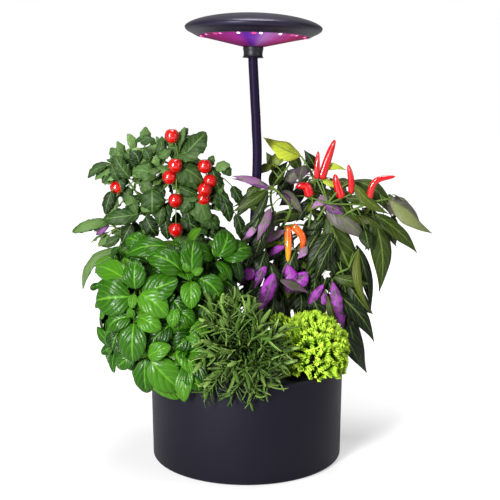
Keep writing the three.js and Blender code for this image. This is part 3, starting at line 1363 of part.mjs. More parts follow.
addPiece('pot_shell', potShell(), blackPlastic);
addPiece('base_pad', basePad(), softPad);
addPiece('planting_deck', plantingDeck(), deckPlastic);
addPiece('fill_flap', fillFlap(), deckPlastic);
addPiece('flap_pin', flapPin(), steel);
addPiece('water_float', waterFloat(), floatFoam);
addPiece('control_housing', controlHousing(), darkPlastic);
addPiece('control_board', controlBoard(), boardGreen);
addPiece('dc_jack', dcJack(), darkPlastic);
addPiece('timer_button', timerButton(), whitePlastic);
addPiece('indicator_lens', indicatorLens(), greenLens);
addPiece('pump_body', pumpBody(), darkPlastic);
addPiece('pump_cover', pumpCover(), darkPlastic);
addPiece('pump_shaft', pumpShaft(), steel);
addPiece('pump_impeller', pumpImpeller(), whitePlastic);
addPiece('pump_conduit', pumpConduit(), blackPlastic);
addPiece('neck_socket', neckSocket(), darkPlastic);
addPiece('neck_nut', neckNut(), darkPlastic);
addPiece('neck_lower', neckLower(), sleeveRubber);
for (let i = 1; i < bendStations; i += 1) {
  addPiece(`neck_link_${i}`, neckLink(bends[i - 1], bends[i]), sleeveRubber);
}
lampPiece(`neck_link_${bendStations}`, lampStem(), sleeveRubber);
lampPiece('lamp_collar', lampCollar(), darkPlastic);
lampPiece('lamp_hub', lampHub(), darkPlastic);
lampPiece('led_board', ledBoard(), whitePlastic);
lampPiece('heat_spreader', heatSpreader(), aluminium);
lampPiece('lamp_diffuser', lampDiffuser(), glowCone);
lampPiece('lamp_top_cover', lampTopCover(), blackPlastic);

podNames.forEach((name, i) => {
  const place = podPlace(i);
  addPiece(`net_cup_${name}`, netCup(place), darkPlastic);
  addPiece(`grow_sponge_${name}`, growSponge(place), spongeFoam);
  addPiece(`cup_cap_${name}`, cupCap(place), blackPlastic);
});

addPiece('tomato_plant', tomatoPlant(), tomatoGreen);
Object.keys(tomatoTrussShares).forEach((name) => addPiece(name, tomatoTruss(name), ripeRed));
addPiece('basil_plant', basilPlant(), basilGreen);
addPiece('rosemary_plant', rosemaryPlant(), rosemaryGreen);
addPiece('lettuce_plant', lettucePlant(), lettuceGreen);
addPiece('chili_plant', chiliPlant(), chiliGreen);
addPiece('chili_fruit_red', pepperBunch('chili_fruit_red'), ripeRed);
addPiece('chili_fruit_orange', pepperBunch('chili_fruit_orange'), ripeOrange);

export default garden;
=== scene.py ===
import math

import bmesh
import bpy
import numpy as np
from mathutils import Matrix, Vector
from mathutils.kdtree import KDTree


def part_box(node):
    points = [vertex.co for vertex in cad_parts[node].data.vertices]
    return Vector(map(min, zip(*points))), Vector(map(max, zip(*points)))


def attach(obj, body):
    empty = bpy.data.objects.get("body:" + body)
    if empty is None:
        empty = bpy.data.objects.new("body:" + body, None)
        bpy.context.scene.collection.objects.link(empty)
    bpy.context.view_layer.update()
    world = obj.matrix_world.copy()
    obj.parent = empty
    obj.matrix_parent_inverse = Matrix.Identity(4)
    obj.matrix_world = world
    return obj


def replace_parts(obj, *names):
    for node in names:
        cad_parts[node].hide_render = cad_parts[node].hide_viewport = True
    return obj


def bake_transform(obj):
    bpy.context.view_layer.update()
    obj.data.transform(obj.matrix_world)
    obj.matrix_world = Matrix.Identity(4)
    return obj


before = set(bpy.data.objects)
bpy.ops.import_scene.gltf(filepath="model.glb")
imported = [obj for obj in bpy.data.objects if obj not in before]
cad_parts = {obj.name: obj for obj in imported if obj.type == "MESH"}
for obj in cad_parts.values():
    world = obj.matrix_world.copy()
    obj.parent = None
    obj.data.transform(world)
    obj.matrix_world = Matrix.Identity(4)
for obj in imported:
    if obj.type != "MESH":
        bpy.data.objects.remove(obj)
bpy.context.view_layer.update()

# Sizes in metres, as the solids have them
MM = 0.001
CLEARANCE = 0.3 * MM
DECK_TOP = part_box("neck_socket")[0].z - CLEARANCE
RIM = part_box("pot_shell")[1].z
POT_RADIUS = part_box("pot_shell")[1].x
SPREAD = 0.1  # the plants' places are shares of it, from the middle of their pod on the deck's top
GOLDEN_TURN = 2.4  # radians from one leaf, needle or shoot to the next
FAR = math.inf
WHITE = (1, 1, 1, 1)

# Camera at the photograph's place
camera_data = bpy.data.cameras.new("camera")
camera_data.lens = 70.4
camera_data.sensor_width = 36
camera = bpy.data.objects.new("camera", camera_data)
camera.location = (0.0035, -1.0, 0.388)
camera.rotation_euler = (math.radians(80.3), 0, 0)
bpy.context.scene.collection.objects.link(camera)
bpy.context.scene.camera = camera
EYE = np.array(camera.location)
FRAME_PIXELS = 500
FOCAL_PIXELS = FRAME_PIXELS * camera_data.lens / camera_data.sensor_width


def vec(*values):
    return np.array(values, float)


def unit(vector):
    return vector / max(np.linalg.norm(vector), 1e-12)


def sight(pixel):
    """The camera's way through a pixel of the frame."""
    across, down = (np.array(pixel, float) - FRAME_PIXELS / 2) / FOCAL_PIXELS
    return unit(np.array(camera.rotation_euler.to_matrix() @ Vector((across, -down, -1))))


def room(low, high):
    return np.array(low), np.array(high)


def inside(place, low, high):
    return bool(np.all(place > low) and np.all(place < high))


def in_pot(place, above, beyond):
    """Whether a place is in the pot, or nearer to its rim than these heights above and widths beyond it."""
    return place[2] < RIM + above and np.hypot(place[0], place[1]) < POT_RADIUS + beyond


# Places that moving parts need: the filling flap's swing and the rosemary's pod as it is lifted out
POD_LIFT = 42 * MM
FLAP_SWING = room((0.05, 0.008, 0.097), (0.095, 0.04, 0.14))
ROSEMARY_LIFT = room((-0.0225, -0.083, 0.06), (0.0225, -0.037, 0.146))
STEM_GAP = 3 * MM


class Crown:
    """An egg-shaped crown of leaves, on whose near side a pixel of the frame marks a place."""

    def __init__(self, middle, reach):
        self.middle, self.reach = vec(*middle), vec(*reach)

    def at(self, pixel, swell):
        """The place that the camera sees at a pixel, or the crown's nearest one where it looks past it."""
        way, reach = sight(pixel), self.reach * swell
        start, step = (EYE - self.middle) / reach, way / reach
        a, b, c = step @ step, start @ step, start @ start - 1
        place = EYE + way * (-b - math.sqrt(max(b * b - a * c, 0.0))) / a
        while inside(place, *FLAP_SWING) or in_pot(place, 3 * MM, 4 * MM):
            place = place - way * 2 * MM
        return place

    def out(self, place):
        return unit((place - self.middle) / self.reach**2)


# The crowns' middles and their reaches along x, y and z
TOMATO_CROWN = Crown((-0.085, 0.066, 0.262), (0.13, 0.03, 0.11))
CHILI_TOP_CROWN = Crown((0.06, 0.07, 0.23), (0.15, 0.042, 0.13))
CHILI_LOW_CROWN = Crown((0.06, 0.05, 0.2), (0.15, 0.04, 0.14))
CHILI_NECK_CROWN = Crown((0.0, 0.004, 0.2), (0.04, 0.018, 0.16))
ROSEMARY_CROWN = Crown((-0.012, -0.066, 0.132), (0.06, 0.036, 0.056))
BASIL_CROWN = Crown((-0.082, -0.04, 0.152), (0.078, 0.05, 0.084))


# Materials
class Nodes:
    """A small writer of a material's or the world's nodes: each call adds a node and gives its output."""

    def __init__(self, owner):
        owner.use_nodes = True
        self.owner, self.tree = owner, owner.node_tree

    def put(self, kind, inputs=None, **settings):
        node = self.tree.nodes.new(kind)
        for key, value in settings.items():
            setattr(node, key, value)
        for key, value in (inputs or {}).items():
            self.feed(node.inputs[key], value)
        return node

    def feed(self, socket, value):
        if isinstance(value, bpy.types.NodeSocket):
            self.tree.links.new(value, socket)
        else:
            socket.default_value = value

    def math(self, operation, a, b=0.0, c=0.0):
        return self.put("ShaderNodeMath", {0: a, 1: b, 2: c}, operation=operation).outputs[0]

    def times(self, a, b):
        return self.math("MULTIPLY", a, b)

    def plus(self, a, b):
        return self.math("ADD", a, b)

    def scaled(self, value, factor, plus):
        return self.math("MULTIPLY_ADD", value, factor, plus)

    def span(self, value, start, end, low=0.0, high=1.0):
        """A value's way from start to end as a way from low to high, held at both."""
        return self.put("ShaderNodeMapRange", {0: value, 1: start, 2: end, 3: low, 4: high}).outputs[0]

    def mix(self, share, a, b):
        return self.put("ShaderNodeMix", {0: share, 6: a, 7: b}, data_type="RGBA").outputs[2]

    def noise(self, scale, detail, place):
        inputs = {"Vector": place, "Scale": scale, "Detail": detail}
        return self.put("ShaderNodeTexNoise", inputs).outputs["Fac"]

    def split(self, vector):
        return tuple(self.put("ShaderNodeSeparateXYZ", {0: vector}).outputs)

    def attribute(self, name):
        return self.put("ShaderNodeAttribute", attribute_name=name).outputs["Vector"]

    def ramp(self, share, stops):
        node = self.put("ShaderNodeValToRGB", {0: share})
        elements = node.color_ramp.elements
        while len(elements) < len(stops):
            elements.new(0.5)
        for element, (position, color) in zip(elements, stops):
            element.position = position
            element.color = color
        return node.outputs[0]

    def bump(self, height, strength, distance):
        inputs = {"Height": height, "Strength": strength, "Distance": distance}
        return self.put("ShaderNodeBump", inputs).outputs[0]

    def set(self, **values):
        """The material, once the inputs of its surface are set."""
        for key, value in values.items():
            self.feed(self.tree.nodes["Principled BSDF"].inputs[key.replace("_", " ")], value)
        return self.owner


def new_material(name):
    """The nodes of a new material, and the place on the object that its textures follow."""
    n = Nodes(bpy.data.materials.new(name))
    return n, n.put("ShaderNodeTexCoord").outputs["Object"]


def rgb(*screen):
    """A colour as its screen values from 0 to 255, made linear."""
    return (*((c / 255 / 12.92) if c <= 10 else ((c / 255 + 0.055) / 1.055) ** 2.4 for c in screen), 1.0)


COOL = (0.78, 0.74, 1.0, 1.0)
BARK = rgb(92, 74, 60)
CREAM = rgb(226, 214, 196)


def moulded_plastic(name, color, light, roughness, grain=1400, glare=0.5, tint=WHITE):
    """Satin plastic with a fine moulded grain and slightly uneven gloss."""
    n, place = new_material(name)
    broad = n.noise(18, 3.0, place)
    uneven = 0.12
    return n.set(
        Base_Color=n.mix(broad, color, light), Roughness=n.scaled(broad, uneven, roughness - uneven / 2),
        Specular_IOR_Level=glare, Specular_Tint=tint,
        Normal=n.bump(n.noise(grain, 2.0, place), 0.35, 0.06 * MM),
    )


def soft_rubber(name, color, light, roughness):
    n, place = new_material(name)
    return n.set(
        Base_Color=n.mix(n.noise(60, 2.0, place), color, light), Roughness=roughness, Specular_IOR_Level=0.1,
        IOR=1.3, Normal=n.bump(n.noise(2600, 2.0, place), 0.25, 0.04 * MM),
    )


def brushed_metal(name, color, roughness):
    n, place = new_material(name)
    streak = n.put("ShaderNodeMapping", {"Vector": place, "Scale": (1, 1, 40)}).outputs[0]
    lines = n.noise(260, 2.0, streak)
    tone = n.mix(lines, color, tuple(min(1, 1.25 * c) for c in color))
    return n.set(Base_Color=tone, Metallic=1.0, Roughness=n.scaled(lines, 0.15, roughness))


def foam(name, dark, light, scale):
    n, place = new_material(name)
    cells = n.put("ShaderNodeTexVoronoi", {"Vector": place, "Scale": scale}).outputs["Distance"]
    tone = n.mix(n.noise(scale / 3, 4.0, place), dark, light)
    return n.set(Base_Color=tone, Roughness=0.95, Normal=n.bump(cells, 0.8, 0.6 * MM))


MIDRIB_EDGE, VEIN_EDGE = 9.0, 4.0  # how sharply the veins end
VEIN_SHOW = 0.55  # how much fainter the side veins are than the midrib


def leaf_green(name, dark, mid, light, vein, gloss, veins, pucker, accent=BARK, rim=0.0, slant=0.3):
    """A leaf skin. Each leaf carries its places across and along, a chance of its own (set low for painted
    shade) and its paint.
    """
    n, place = new_material(name)
    across, along, chance = n.split(n.attribute("leaf_place"))
    purple, lightness, cream = n.split(n.attribute("leaf_paint"))
    across = n.math("ABSOLUTE", across)
    # the midrib, and side veins that run forwards from it
    midrib = n.math("MINIMUM", n.times(across, MIDRIB_EDGE), 1.0)
    slanted = n.scaled(n.math("POWER", across, 1.3), -slant, along)
    wave = n.math("ABSOLUTE", n.math("SINE", n.times(slanted, math.pi * veins)))
    side = n.math("MINIMUM", n.times(wave, VEIN_EDGE), 1.0)
    skin = n.math("MINIMUM", midrib, n.scaled(side, VEIN_SHOW, 1 - VEIN_SHOW))
    # the blade's green, darkest for a low chance, which on hindmost and inner leaves is painted shade, and
    # what its paint lays over it
    shade = n.plus(n.times(chance, 0.75), n.times(n.noise(90, 4.0, place), 0.25))
    base = n.mix(lightness, n.mix(shade, dark, mid), light)
    # towards the tip the blade turns to the light colour: partly the leaf's own paler rim, partly painted
    # highlight there and painted shade deeper in
    if rim:
        base = n.mix(n.times(n.math("POWER", along, 5.0), rim), base, light)
    patches = n.span(n.noise(130, 3.0, place), 0.42, 0.52, 0.3)
    base = n.mix(cream, n.mix(n.times(purple, patches), base, accent), CREAM)
    height = n.plus(n.times(wave, pucker), n.times(midrib, 0.4))
    grain = n.plus(height, n.times(n.noise(700, 3.0, place), 0.15))
    return n.set(
        Base_Color=n.mix(skin, vein, base), Roughness=gloss, Specular_IOR_Level=0.2,
        Normal=n.bump(grain, 0.7, 0.6 * MM),
    )


def fruit_skin(name, low, high, bottom=0.0, top=1.0, lean=0.0):
    """Glossy skin that may change colour from a bottom to a top height, and sooner to one side by lean."""
    n, place = new_material(name)
    x, _, z = n.split(place)
    tone = n.mix(n.span(n.scaled(x, lean, z), bottom, top), low, high)
    tone = n.mix(n.times(n.noise(120, 3.0, place), 0.35), tone, low)
    return n.set(
        Base_Color=tone, Roughness=0.2, Coat_Weight=0.4, Coat_Roughness=0.05,
        Normal=n.bump(n.noise(400, 2.0, place), 0.08, 0.1 * MM),
    )


def glow(name, color, strength):
    n, place = new_material(name)
    flicker = n.scaled(n.noise(300, 1.0, place), 0.1, strength)
    return n.set(Base_Color=color, Emission_Color=color, Emission_Strength=flicker, Roughness=0.3)


pot_plastic = moulded_plastic("pot_plastic", rgb(16, 15, 22), rgb(20, 19, 27), 0.44, glare=0.17, tint=COOL)
lamp_plastic = moulded_plastic("lamp_plastic", rgb(18, 14, 28), rgb(24, 19, 36), 0.34, 2200, 0.4, COOL)
deck_plastic = moulded_plastic("deck_plastic", rgb(22, 22, 27), rgb(27, 27, 33), 0.5, glare=0.25)
trim_plastic = moulded_plastic("trim_plastic", rgb(20, 19, 23), rgb(26, 25, 29), 0.42, glare=0.3)
white_plastic = moulded_plastic("white_plastic", rgb(222, 222, 216), rgb(232, 232, 228), 0.38)
board_coat = moulded_plastic("board_coat", rgb(24, 96, 52), rgb(30, 112, 62), 0.4, grain=500)
float_foam = foam("float_foam", rgb(206, 66, 36), rgb(224, 84, 50), 900)
sponge_foam = foam("sponge_foam", rgb(82, 56, 38), rgb(118, 86, 60), 420)
sleeve_rubber = soft_rubber("sleeve_rubber", rgb(22, 13, 36), rgb(28, 18, 44), 0.42)
pad_rubber = soft_rubber("pad_rubber", rgb(22, 22, 24), rgb(28, 28, 30), 0.85)
steel = brushed_metal("steel", rgb(176, 180, 186), 0.25)
aluminium = brushed_metal("aluminium", rgb(196, 198, 202), 0.3)
lens_glow = glow("lens_glow", rgb(84, 224, 110), 1.2)

# Leaf skins by dark, mid, light and vein colours; the dark one also serves as painted shade on hindmost and
# inner leaves
TOMATO_SKIN = leaf_green(
    "tomato_leaf", rgb(8, 26, 2), rgb(38, 70, 18), rgb(112, 144, 80), rgb(86, 118, 56), 0.5, 5, 0.5,
    accent=rgb(120, 60, 130),
)
STEM_SKIN = leaf_green(
    "plant_stem", rgb(70, 96, 34), rgb(98, 124, 52), rgb(136, 158, 84), rgb(116, 138, 66), 0.5, 3, 0.1,
)
BASIL_SKIN = leaf_green(
    "basil_leaf", rgb(8, 40, 0), rgb(36, 88, 0), rgb(104, 164, 40), rgb(84, 138, 32), 0.28, 4.4, 0.7,
    slant=0.55,
)
CHILI_SKIN = leaf_green(
    "chili_leaf", rgb(1, 14, 0), rgb(34, 60, 8), rgb(172, 184, 52), rgb(96, 118, 52), 0.4, 7, 0.5,
    accent=rgb(156, 50, 172),
)
ROSEMARY_SKIN = leaf_green(
    "rosemary_leaf", rgb(12, 36, 0), rgb(60, 98, 18), rgb(136, 166, 86), rgb(108, 142, 62), 0.5, 1, 0.0,
)
PETAL_SKIN = leaf_green(
    "petal", rgb(214, 208, 200), rgb(240, 238, 232), rgb(248, 246, 240), rgb(220, 216, 196), 0.5, 2, 0.1,
)
# the lettuce's light rim colour is partly its own paler frill and partly painted highlight; its dark, deep in
# the head, is partly painted shade
LETTUCE_SKIN = leaf_green(
    "lettuce_leaf", rgb(16, 62, 0), rgb(58, 122, 0), rgb(206, 242, 74), rgb(150, 206, 50), 0.4, 3, 0.5,
    rim=1.0,
)
TOMATO_RED = fruit_skin("tomato_red", rgb(176, 5, 2), rgb(194, 12, 8))
PEPPER_RED = fruit_skin("pepper_red", rgb(186, 2, 8), rgb(214, 10, 30))
PEPPER_ORANGE = fruit_skin("pepper_orange", rgb(236, 172, 8), rgb(206, 40, 6), 0.277, 0.31, lean=1.8)


# Meshes
def make_object(name, verts, faces, material, body, smooth=True):
    mesh = bpy.data.meshes.new(name)
    mesh.from_pydata([tuple(v) for v in verts], [], [tuple(f) for f in faces])
    mesh.validate()
    mesh.polygons.foreach_set("use_smooth", [smooth] * len(mesh.polygons))
    mesh.materials.append(material)
    obj = bpy.data.objects.new(name, mesh)
    bpy.context.scene.collection.objects.link(obj)
    if body:
        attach(obj, body)
    return obj


def soften(obj, angle=35):
    """Sharp edges stay sharp in the shading, and the faces point out."""
    work = bmesh.new()
    work.from_mesh(obj.data)
    bmesh.ops.recalc_face_normals(work, faces=work.faces)
    for edge in work.edges:
        edge.smooth = len(edge.link_faces) == 2 and edge.calc_face_angle(0) < math.radians(angle)
    work.to_mesh(obj.data)
    work.free()


def lathe(name, profile, sides, material, body):
    """A closed profile of (radius, height) turned about the upright axis. Radii of zero stay on the axis."""
    verts, rings = [], []
    for radius, height in profile:
        count = sides if radius else 1
        rings.append(range(len(verts), len(verts) + count))
        angles = [2 * math.pi * k / sides for k in range(count)]
        verts += [(radius * math.cos(angle), radius * math.sin(angle), height) for angle in angles]
    faces = []
    pairs = list(zip(rings, rings[1:])) + ([(rings[-1], rings[0])] if profile[0][0] else [])
    for low, high in pairs:
        for k in range(sides):
            j = (k + 1) % sides
            if len(low) == 1:
                faces.append((low[0], high[j], high[k]))
            elif len(high) == 1:
                faces.append((low[k], low[j], high[0]))
            else:
                faces.append((low[k], low[j], high[j], high[k]))
    obj = make_object(name, verts, faces, material, body)
    soften(obj)
    return obj


def arc(x, y, radius, start, end, steps):
    """Points of a rounded corner in a profile, by angles in degrees."""
    angles = np.radians(np.linspace(start, end, steps + 1))
    return [(x + radius * math.cos(angle), y + radius * math.sin(angle)) for angle in angles]


def smooth_line(points, steps):
    """A smooth line through points, as an array."""
    p = np.array(points, float)
    p = np.vstack([2 * p[0] - p[1], p, 2 * p[-1] - p[-2]])
    out = []
    for a, b, c, d in zip(p, p[1:], p[2:], p[3:]):
        for t in np.linspace(0, 1, steps, endpoint=False):
            square, cube = 2 * a - 5 * b + 4 * c - d, 3 * b - a - 3 * c + d
            out.append(0.5 * (2 * b + (c - a) * t + square * t**2 + cube * t**3))
    return np.array([*out, p[-2]])


def crossways(line, ways, across):
    """At each point of a line, the two directions square to it, turned no more than they have to be."""
    for centre, way in zip(line, ways):
        way = unit(way)
        across = unit(across - way * (across @ way))
        yield centre, across, np.cross(way, across)


def around(centre, across, beside, radius, sides):
    """A ring of points round a centre."""
    angle = np.linspace(0, 2 * math.pi, sides, endpoint=False)[:, None]
    return centre + radius * (np.cos(angle) * across + np.sin(angle) * beside)


def ring_faces(count, sides, first=0, ends=True):
    """Faces between rings of points, and over the two ends."""
    rings = [range(first + i * sides, first + (i + 1) * sides) for i in range(count)]
    faces = [
        (low[k], low[(k + 1) % sides], high[(k + 1) % sides], high[k])
        for low, high in zip(rings, rings[1:]) for k in range(sides)
    ]
    return faces + ([tuple(rings[0])[::-1], tuple(rings[-1])] if ends else [])


def turned(face):
    """A face seen from its other side."""
    return face[::-1]


class Sheaf:
    """Many thin shells collected into one mesh, each point with its place on its leaf and its paint."""

    def __init__(self, keep_out=None):
        self.verts, self.faces, self.place, self.paint, self.count = [], [], [], [], 0
        self.keep_out = keep_out

    def barred(self, verts):
        """Whether points are in the room, or near the points, that the sheaf keeps out of."""
        if self.keep_out is None:
            return False
        if isinstance(self.keep_out, KDTree):
            return any(self.keep_out.find(v)[2] < STEM_GAP for v in verts[::2])
        low, high = self.keep_out
        return bool(np.any(np.all((verts > low) & (verts < high), axis=1)))

    def add(self, verts, faces, place, paint):
        self.verts.append(verts)
        self.faces.append(np.asarray(faces) + self.count)
        self.place.append(place)
        self.paint.append(np.tile(paint, (len(verts), 1)))
        self.count += len(verts)

    def build(self, name, material, body, slot_name):
        mesh = bpy.data.meshes.new(name)
        faces = np.concatenate(self.faces)
        mesh.vertices.add(self.count)
        mesh.vertices.foreach_set("co", np.concatenate(self.verts).astype(np.float32).ravel())
        mesh.loops.add(faces.size)
        mesh.loops.foreach_set("vertex_index", faces.astype(np.int32).ravel())
        mesh.polygons.add(len(faces))
        mesh.polygons.foreach_set("loop_start", np.arange(0, faces.size, 4, dtype=np.int32))
        mesh.update(calc_edges=True)
        mesh.polygons.foreach_set("use_smooth", [True] * len(faces))
        for label, values in (("leaf_place", self.place), ("leaf_paint", self.paint)):
            attribute = mesh.attributes.new(label, "FLOAT_VECTOR", "POINT")
            attribute.data.foreach_set("vector", np.concatenate(values).astype(np.float32).ravel())
        mesh.materials.append(material)
        obj = bpy.data.objects.new(name, mesh)
        bpy.context.scene.collection.objects.link(obj)
        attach(obj, body)
        return obj


def tube(sheaf, points, radii, sides=6, steps=6, chance=0.5):
    """A tapering stem through points, drawn in at both ends."""
    line = smooth_line(points, steps)
    size = np.interp(np.linspace(0, 1, len(line)), np.linspace(0, 1, len(radii)), radii)
    drawn_in = 0.3
    size = np.concatenate([[size[0] * drawn_in], size, [size[-1] * drawn_in]])
    line = np.vstack([line[0], line, line[-1]])
    along = np.gradient(line, axis=0)
    along[0], along[-1] = along[1], along[-2]
    across = vec(1, 0, 0) if abs(unit(along[1])[0]) < 0.9 else vec(0, 0, 1)
    rings = [around(*at, radius, sides) for at, radius in zip(crossways(line, along, across), size)]
    verts = np.concatenate(rings)
    shares = np.repeat(np.linspace(0, 1, len(rings)), sides)
    place = np.stack([np.full(len(verts), 0.6), shares, np.full(len(verts), chance)], axis=1)
    sheaf.add(verts, ring_faces(len(rings), sides, ends=False), place, (0, 0, 0))


# Leaf outlines: half the width at a share of the length
def ovate(t):
    return np.sin(math.pi * t**0.8) ** 0.62


def lance(t):
    return np.sin(math.pi * t**0.72) ** 1.15


def lobed(t):
    return ovate(t) * (0.86 + 0.14 * np.abs(np.sin(3.5 * math.pi * t + 0.5)))


def fan(t):
    return 0.18 + 0.82 * t**0.7 * np.sqrt(np.maximum(0.0, 1 - np.maximum(0, (t - 0.72) / 0.28) ** 2 * 0.8))


def blunt(t):
    return 0.45 + 0.55 * np.sin(math.pi * t**0.8)


def crinkle(share, waves, phase):
    """Uneven waves across a leaf, with smaller ones on them."""
    return np.sin(math.pi * waves * share + phase) + 0.5 * np.sin(2.7 * math.pi * waves * share + 3 * phase)


# Leaf shapes: bends in degrees, sizes across in shares of half the width
SHAPE = dict(fold=0, pucker=0, ruffle=0, waves=1, veins=1, slant=0.3, frill=0, frills=1, teeth=0, ragged=0)
BASIL_LEAF = SHAPE | dict(
    grid=(30, 14), outline=ovate, bend=74, cup=-0.26, fold=-0.2, pucker=0.24, ruffle=0.04, waves=1.5,
    veins=4.4, slant=0.55, thickness=0.5 * MM,
)
TOMATO_LEAF = SHAPE | dict(
    grid=(18, 8), outline=lobed, bend=60, cup=-0.2, fold=0.05, pucker=0.2, ruffle=0.14, waves=2.5, veins=5,
    teeth=0.05, thickness=0.4 * MM,
)
CHILI_LEAF = SHAPE | dict(
    grid=(18, 6), outline=lance, bend=52, cup=-0.1, fold=0.2, pucker=0.1, ruffle=0.12, waves=2, veins=7,
    thickness=0.4 * MM,
)
LETTUCE_LEAF = SHAPE | dict(
    grid=(8, 60), outline=fan, bend=40, cup=0.1, pucker=0.05, ruffle=0.15, waves=0.8, veins=3, frill=0.3,
    frills=4.4, ragged=0.07, thickness=0.3 * MM,
)
NEEDLE = SHAPE | dict(grid=(6, 2), outline=blunt, bend=34, cup=-0.2, thickness=0.5 * MM)
SEPAL = SHAPE | dict(grid=(6, 2), outline=lance, bend=-30, cup=-0.1, fold=0.1, veins=2, thickness=0.4 * MM)


def leaf(sheaf, shape, base, tip, width, facing, rng, paint=(0, 0, 0), sway=0.0, shade=None):
    """A thin closed blade from its base to its tip. Shape says how it bends, folds, puckers and ruffles."""
    chord = tip - base
    length = np.linalg.norm(chord)
    along = chord / length
    normal = unit(facing - along * (facing @ along))
    side = np.cross(along, normal)
    rows, columns = shape["grid"]
    t = np.linspace(0, 1, rows + 1)
    s = np.linspace(-1, 1, columns + 1)
    # the midrib, bent along its length and swayed to one side
    bend = math.radians(shape["bend"]) * (0.6 + 0.8 * rng.random())
    angle = bend * (0.55 - 1.15 * t)
    ways = np.cos(angle)[:, None] * along + np.sin(angle)[:, None] * normal
    line = base + np.vstack([np.zeros(3), np.cumsum((ways[1:] + ways[:-1]) / 2, axis=0) * length / rows])
    line += t[:, None] * (tip - line[-1])
    line += side * (sway * length * 4 * t * (1 - t))[:, None]
    up = -np.sin(angle)[:, None] * along + np.cos(angle)[:, None] * normal
    # the blade on both sides of it, with its height in shares of its half width
    half = np.maximum(width / 2 * shape["outline"](t), 0.25 * MM)
    grid_t, grid_s = np.meshgrid(t, s, indexing="ij")
    reach = np.abs(grid_s)
    phase = rng.random() * 6.28
    veins = np.abs(np.sin(math.pi * shape["veins"] * (grid_t - shape["slant"] * reach**1.3)))
    waves = np.sin(2 * math.pi * shape["waves"] * grid_t + phase + 1.7 * np.sign(grid_s))
    lift = (
        shape["cup"] * reach**2
        - shape["fold"] * reach
        + shape["pucker"] * veins * reach * (1.2 - reach)
        + shape["ruffle"] * reach**2 * waves
        + shape["frill"] * grid_t**2 * crinkle(grid_s, shape["frills"], phase)
    )
    edge = 1 + shape["teeth"] * reach**4 * np.sin(2 * math.pi * 2.2 * shape["veins"] * grid_t)
    top = (
        line[:, None, :]
        + side * (half[:, None] * grid_s * edge)[..., None]
        + up[:, None, :] * (half[:, None] * lift)[..., None]
        + along * (width * shape["ragged"] * grid_t**4 * crinkle(grid_s, 13, 2 * phase))[..., None]
    )
    low = top - up[:, None, :] * shape["thickness"]
    # the faces above and below, and round the edge
    count = (rows + 1) * (columns + 1)
    upper = np.arange(count).reshape(rows + 1, columns + 1)
    under = upper + count
    faces = [
        np.stack([upper[:-1, :-1], upper[:-1, 1:], upper[1:, 1:], upper[1:, :-1]], -1).reshape(-1, 4),
        np.stack([under[:-1, :-1], under[1:, :-1], under[1:, 1:], under[:-1, 1:]], -1).reshape(-1, 4),
        np.stack([upper[:-1, 0], upper[1:, 0], under[1:, 0], under[:-1, 0]], -1),
        np.stack([upper[1:, -1], upper[:-1, -1], under[:-1, -1], under[1:, -1]], -1),
        np.stack([upper[0, 1:], upper[0, :-1], under[0, :-1], under[0, 1:]], -1),
        np.stack([upper[-1, :-1], upper[-1, 1:], under[-1, 1:], under[-1, :-1]], -1),
    ]
    chance = rng.random()
    # a set shade, down to 0, darkens a leaf as painted shade; otherwise its own chance sets its tone
    shade = chance if shade is None else shade
    place = np.stack([grid_s, grid_t, np.full_like(grid_t, shade)], -1).reshape(-1, 3)
    verts = np.concatenate([top.reshape(-1, 3), low.reshape(-1, 3)])
    if not sheaf.barred(verts):
        sheaf.add(verts, np.concatenate(faces), np.concatenate([place, place]), paint)


def planter(name):
    """Turns shares of the spread into places over a pod."""
    low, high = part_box("cup_cap_" + name)
    cap = (low + high) / 2
    return lambda shares: vec(cap.x, cap.y, DECK_TOP) + SPREAD * np.array(shares, float)


# Stems as lists of points, thickest first
TOMATO_STEM = [
    [(0, 0, 0.045), (-0.10, 0.02, 0.52), (-0.27, 0, 1.22), (-0.37, -0.04, 2.12)],
    [(-0.20, 0.01, 0.92), (-0.60, 0.03, 1.42), (-0.90, 0.03, 1.82), (-1.02, 0.01, 2.02)],
    [(-0.10, 0.02, 0.52), (-0.55, 0.02, 1.02), (-1.05, -0.02, 1.34)],
    [(-0.27, 0, 1.22), (-0.13, -0.02, 1.62), (0.02, -0.04, 1.92)],
    [(-0.33, -0.02, 1.70), (-0.60, 0, 1.97), (-0.82, -0.01, 2.08)],
    [(-0.34, -0.03, 1.86), (-0.44, -0.04, 2.10), (-0.53, -0.04, 2.24)],
]
BASIL_STEM = [
    [(0, 0, 0.045), (-0.04, -0.03, 0.30), (-0.08, -0.06, 0.52)],
    [(-0.04, -0.03, 0.30), (-0.40, -0.05, 0.75), (-0.68, -0.06, 1.05)],
    [(-0.04, -0.03, 0.30), (-0.34, -0.16, 0.62), (-0.50, -0.26, 0.82)],
    [(-0.02, -0.02, 0.18), (-0.34, -0.22, 0.42), (-0.53, -0.34, 0.59)],
    [(-0.01, -0.01, 0.10), (-0.24, -0.28, 0.18), (-0.40, -0.44, 0.21)],
    [(-0.01, -0.01, 0.10), (-0.02, -0.40, 0.24), (-0.01, -0.64, 0.29)],
    [(-0.02, -0.02, 0.18), (-0.10, -0.22, 0.42), (-0.15, -0.37, 0.58)],
    [(-0.08, -0.06, 0.52), (0, -0.14, 0.80), (0.02, -0.17, 1)],
    [(-0.08, -0.06, 0.52), (0.10, -0.10, 0.90), (0.28, -0.10, 1.16)],
    [(-0.08, -0.06, 0.52), (-0.34, 0.10, 0.90), (-0.46, 0.18, 1.19)],
    [(-0.08, -0.06, 0.52), (-0.10, 0.06, 0.94), (-0.05, 0.13, 1.26)],
    [(-0.04, -0.03, 0.30), (-0.22, 0.14, 0.60), (-0.33, 0.24, 0.82)],
    [(-0.04, -0.03, 0.30), (-0.40, 0.02, 0.56), (-0.66, 0.04, 0.70)],
]
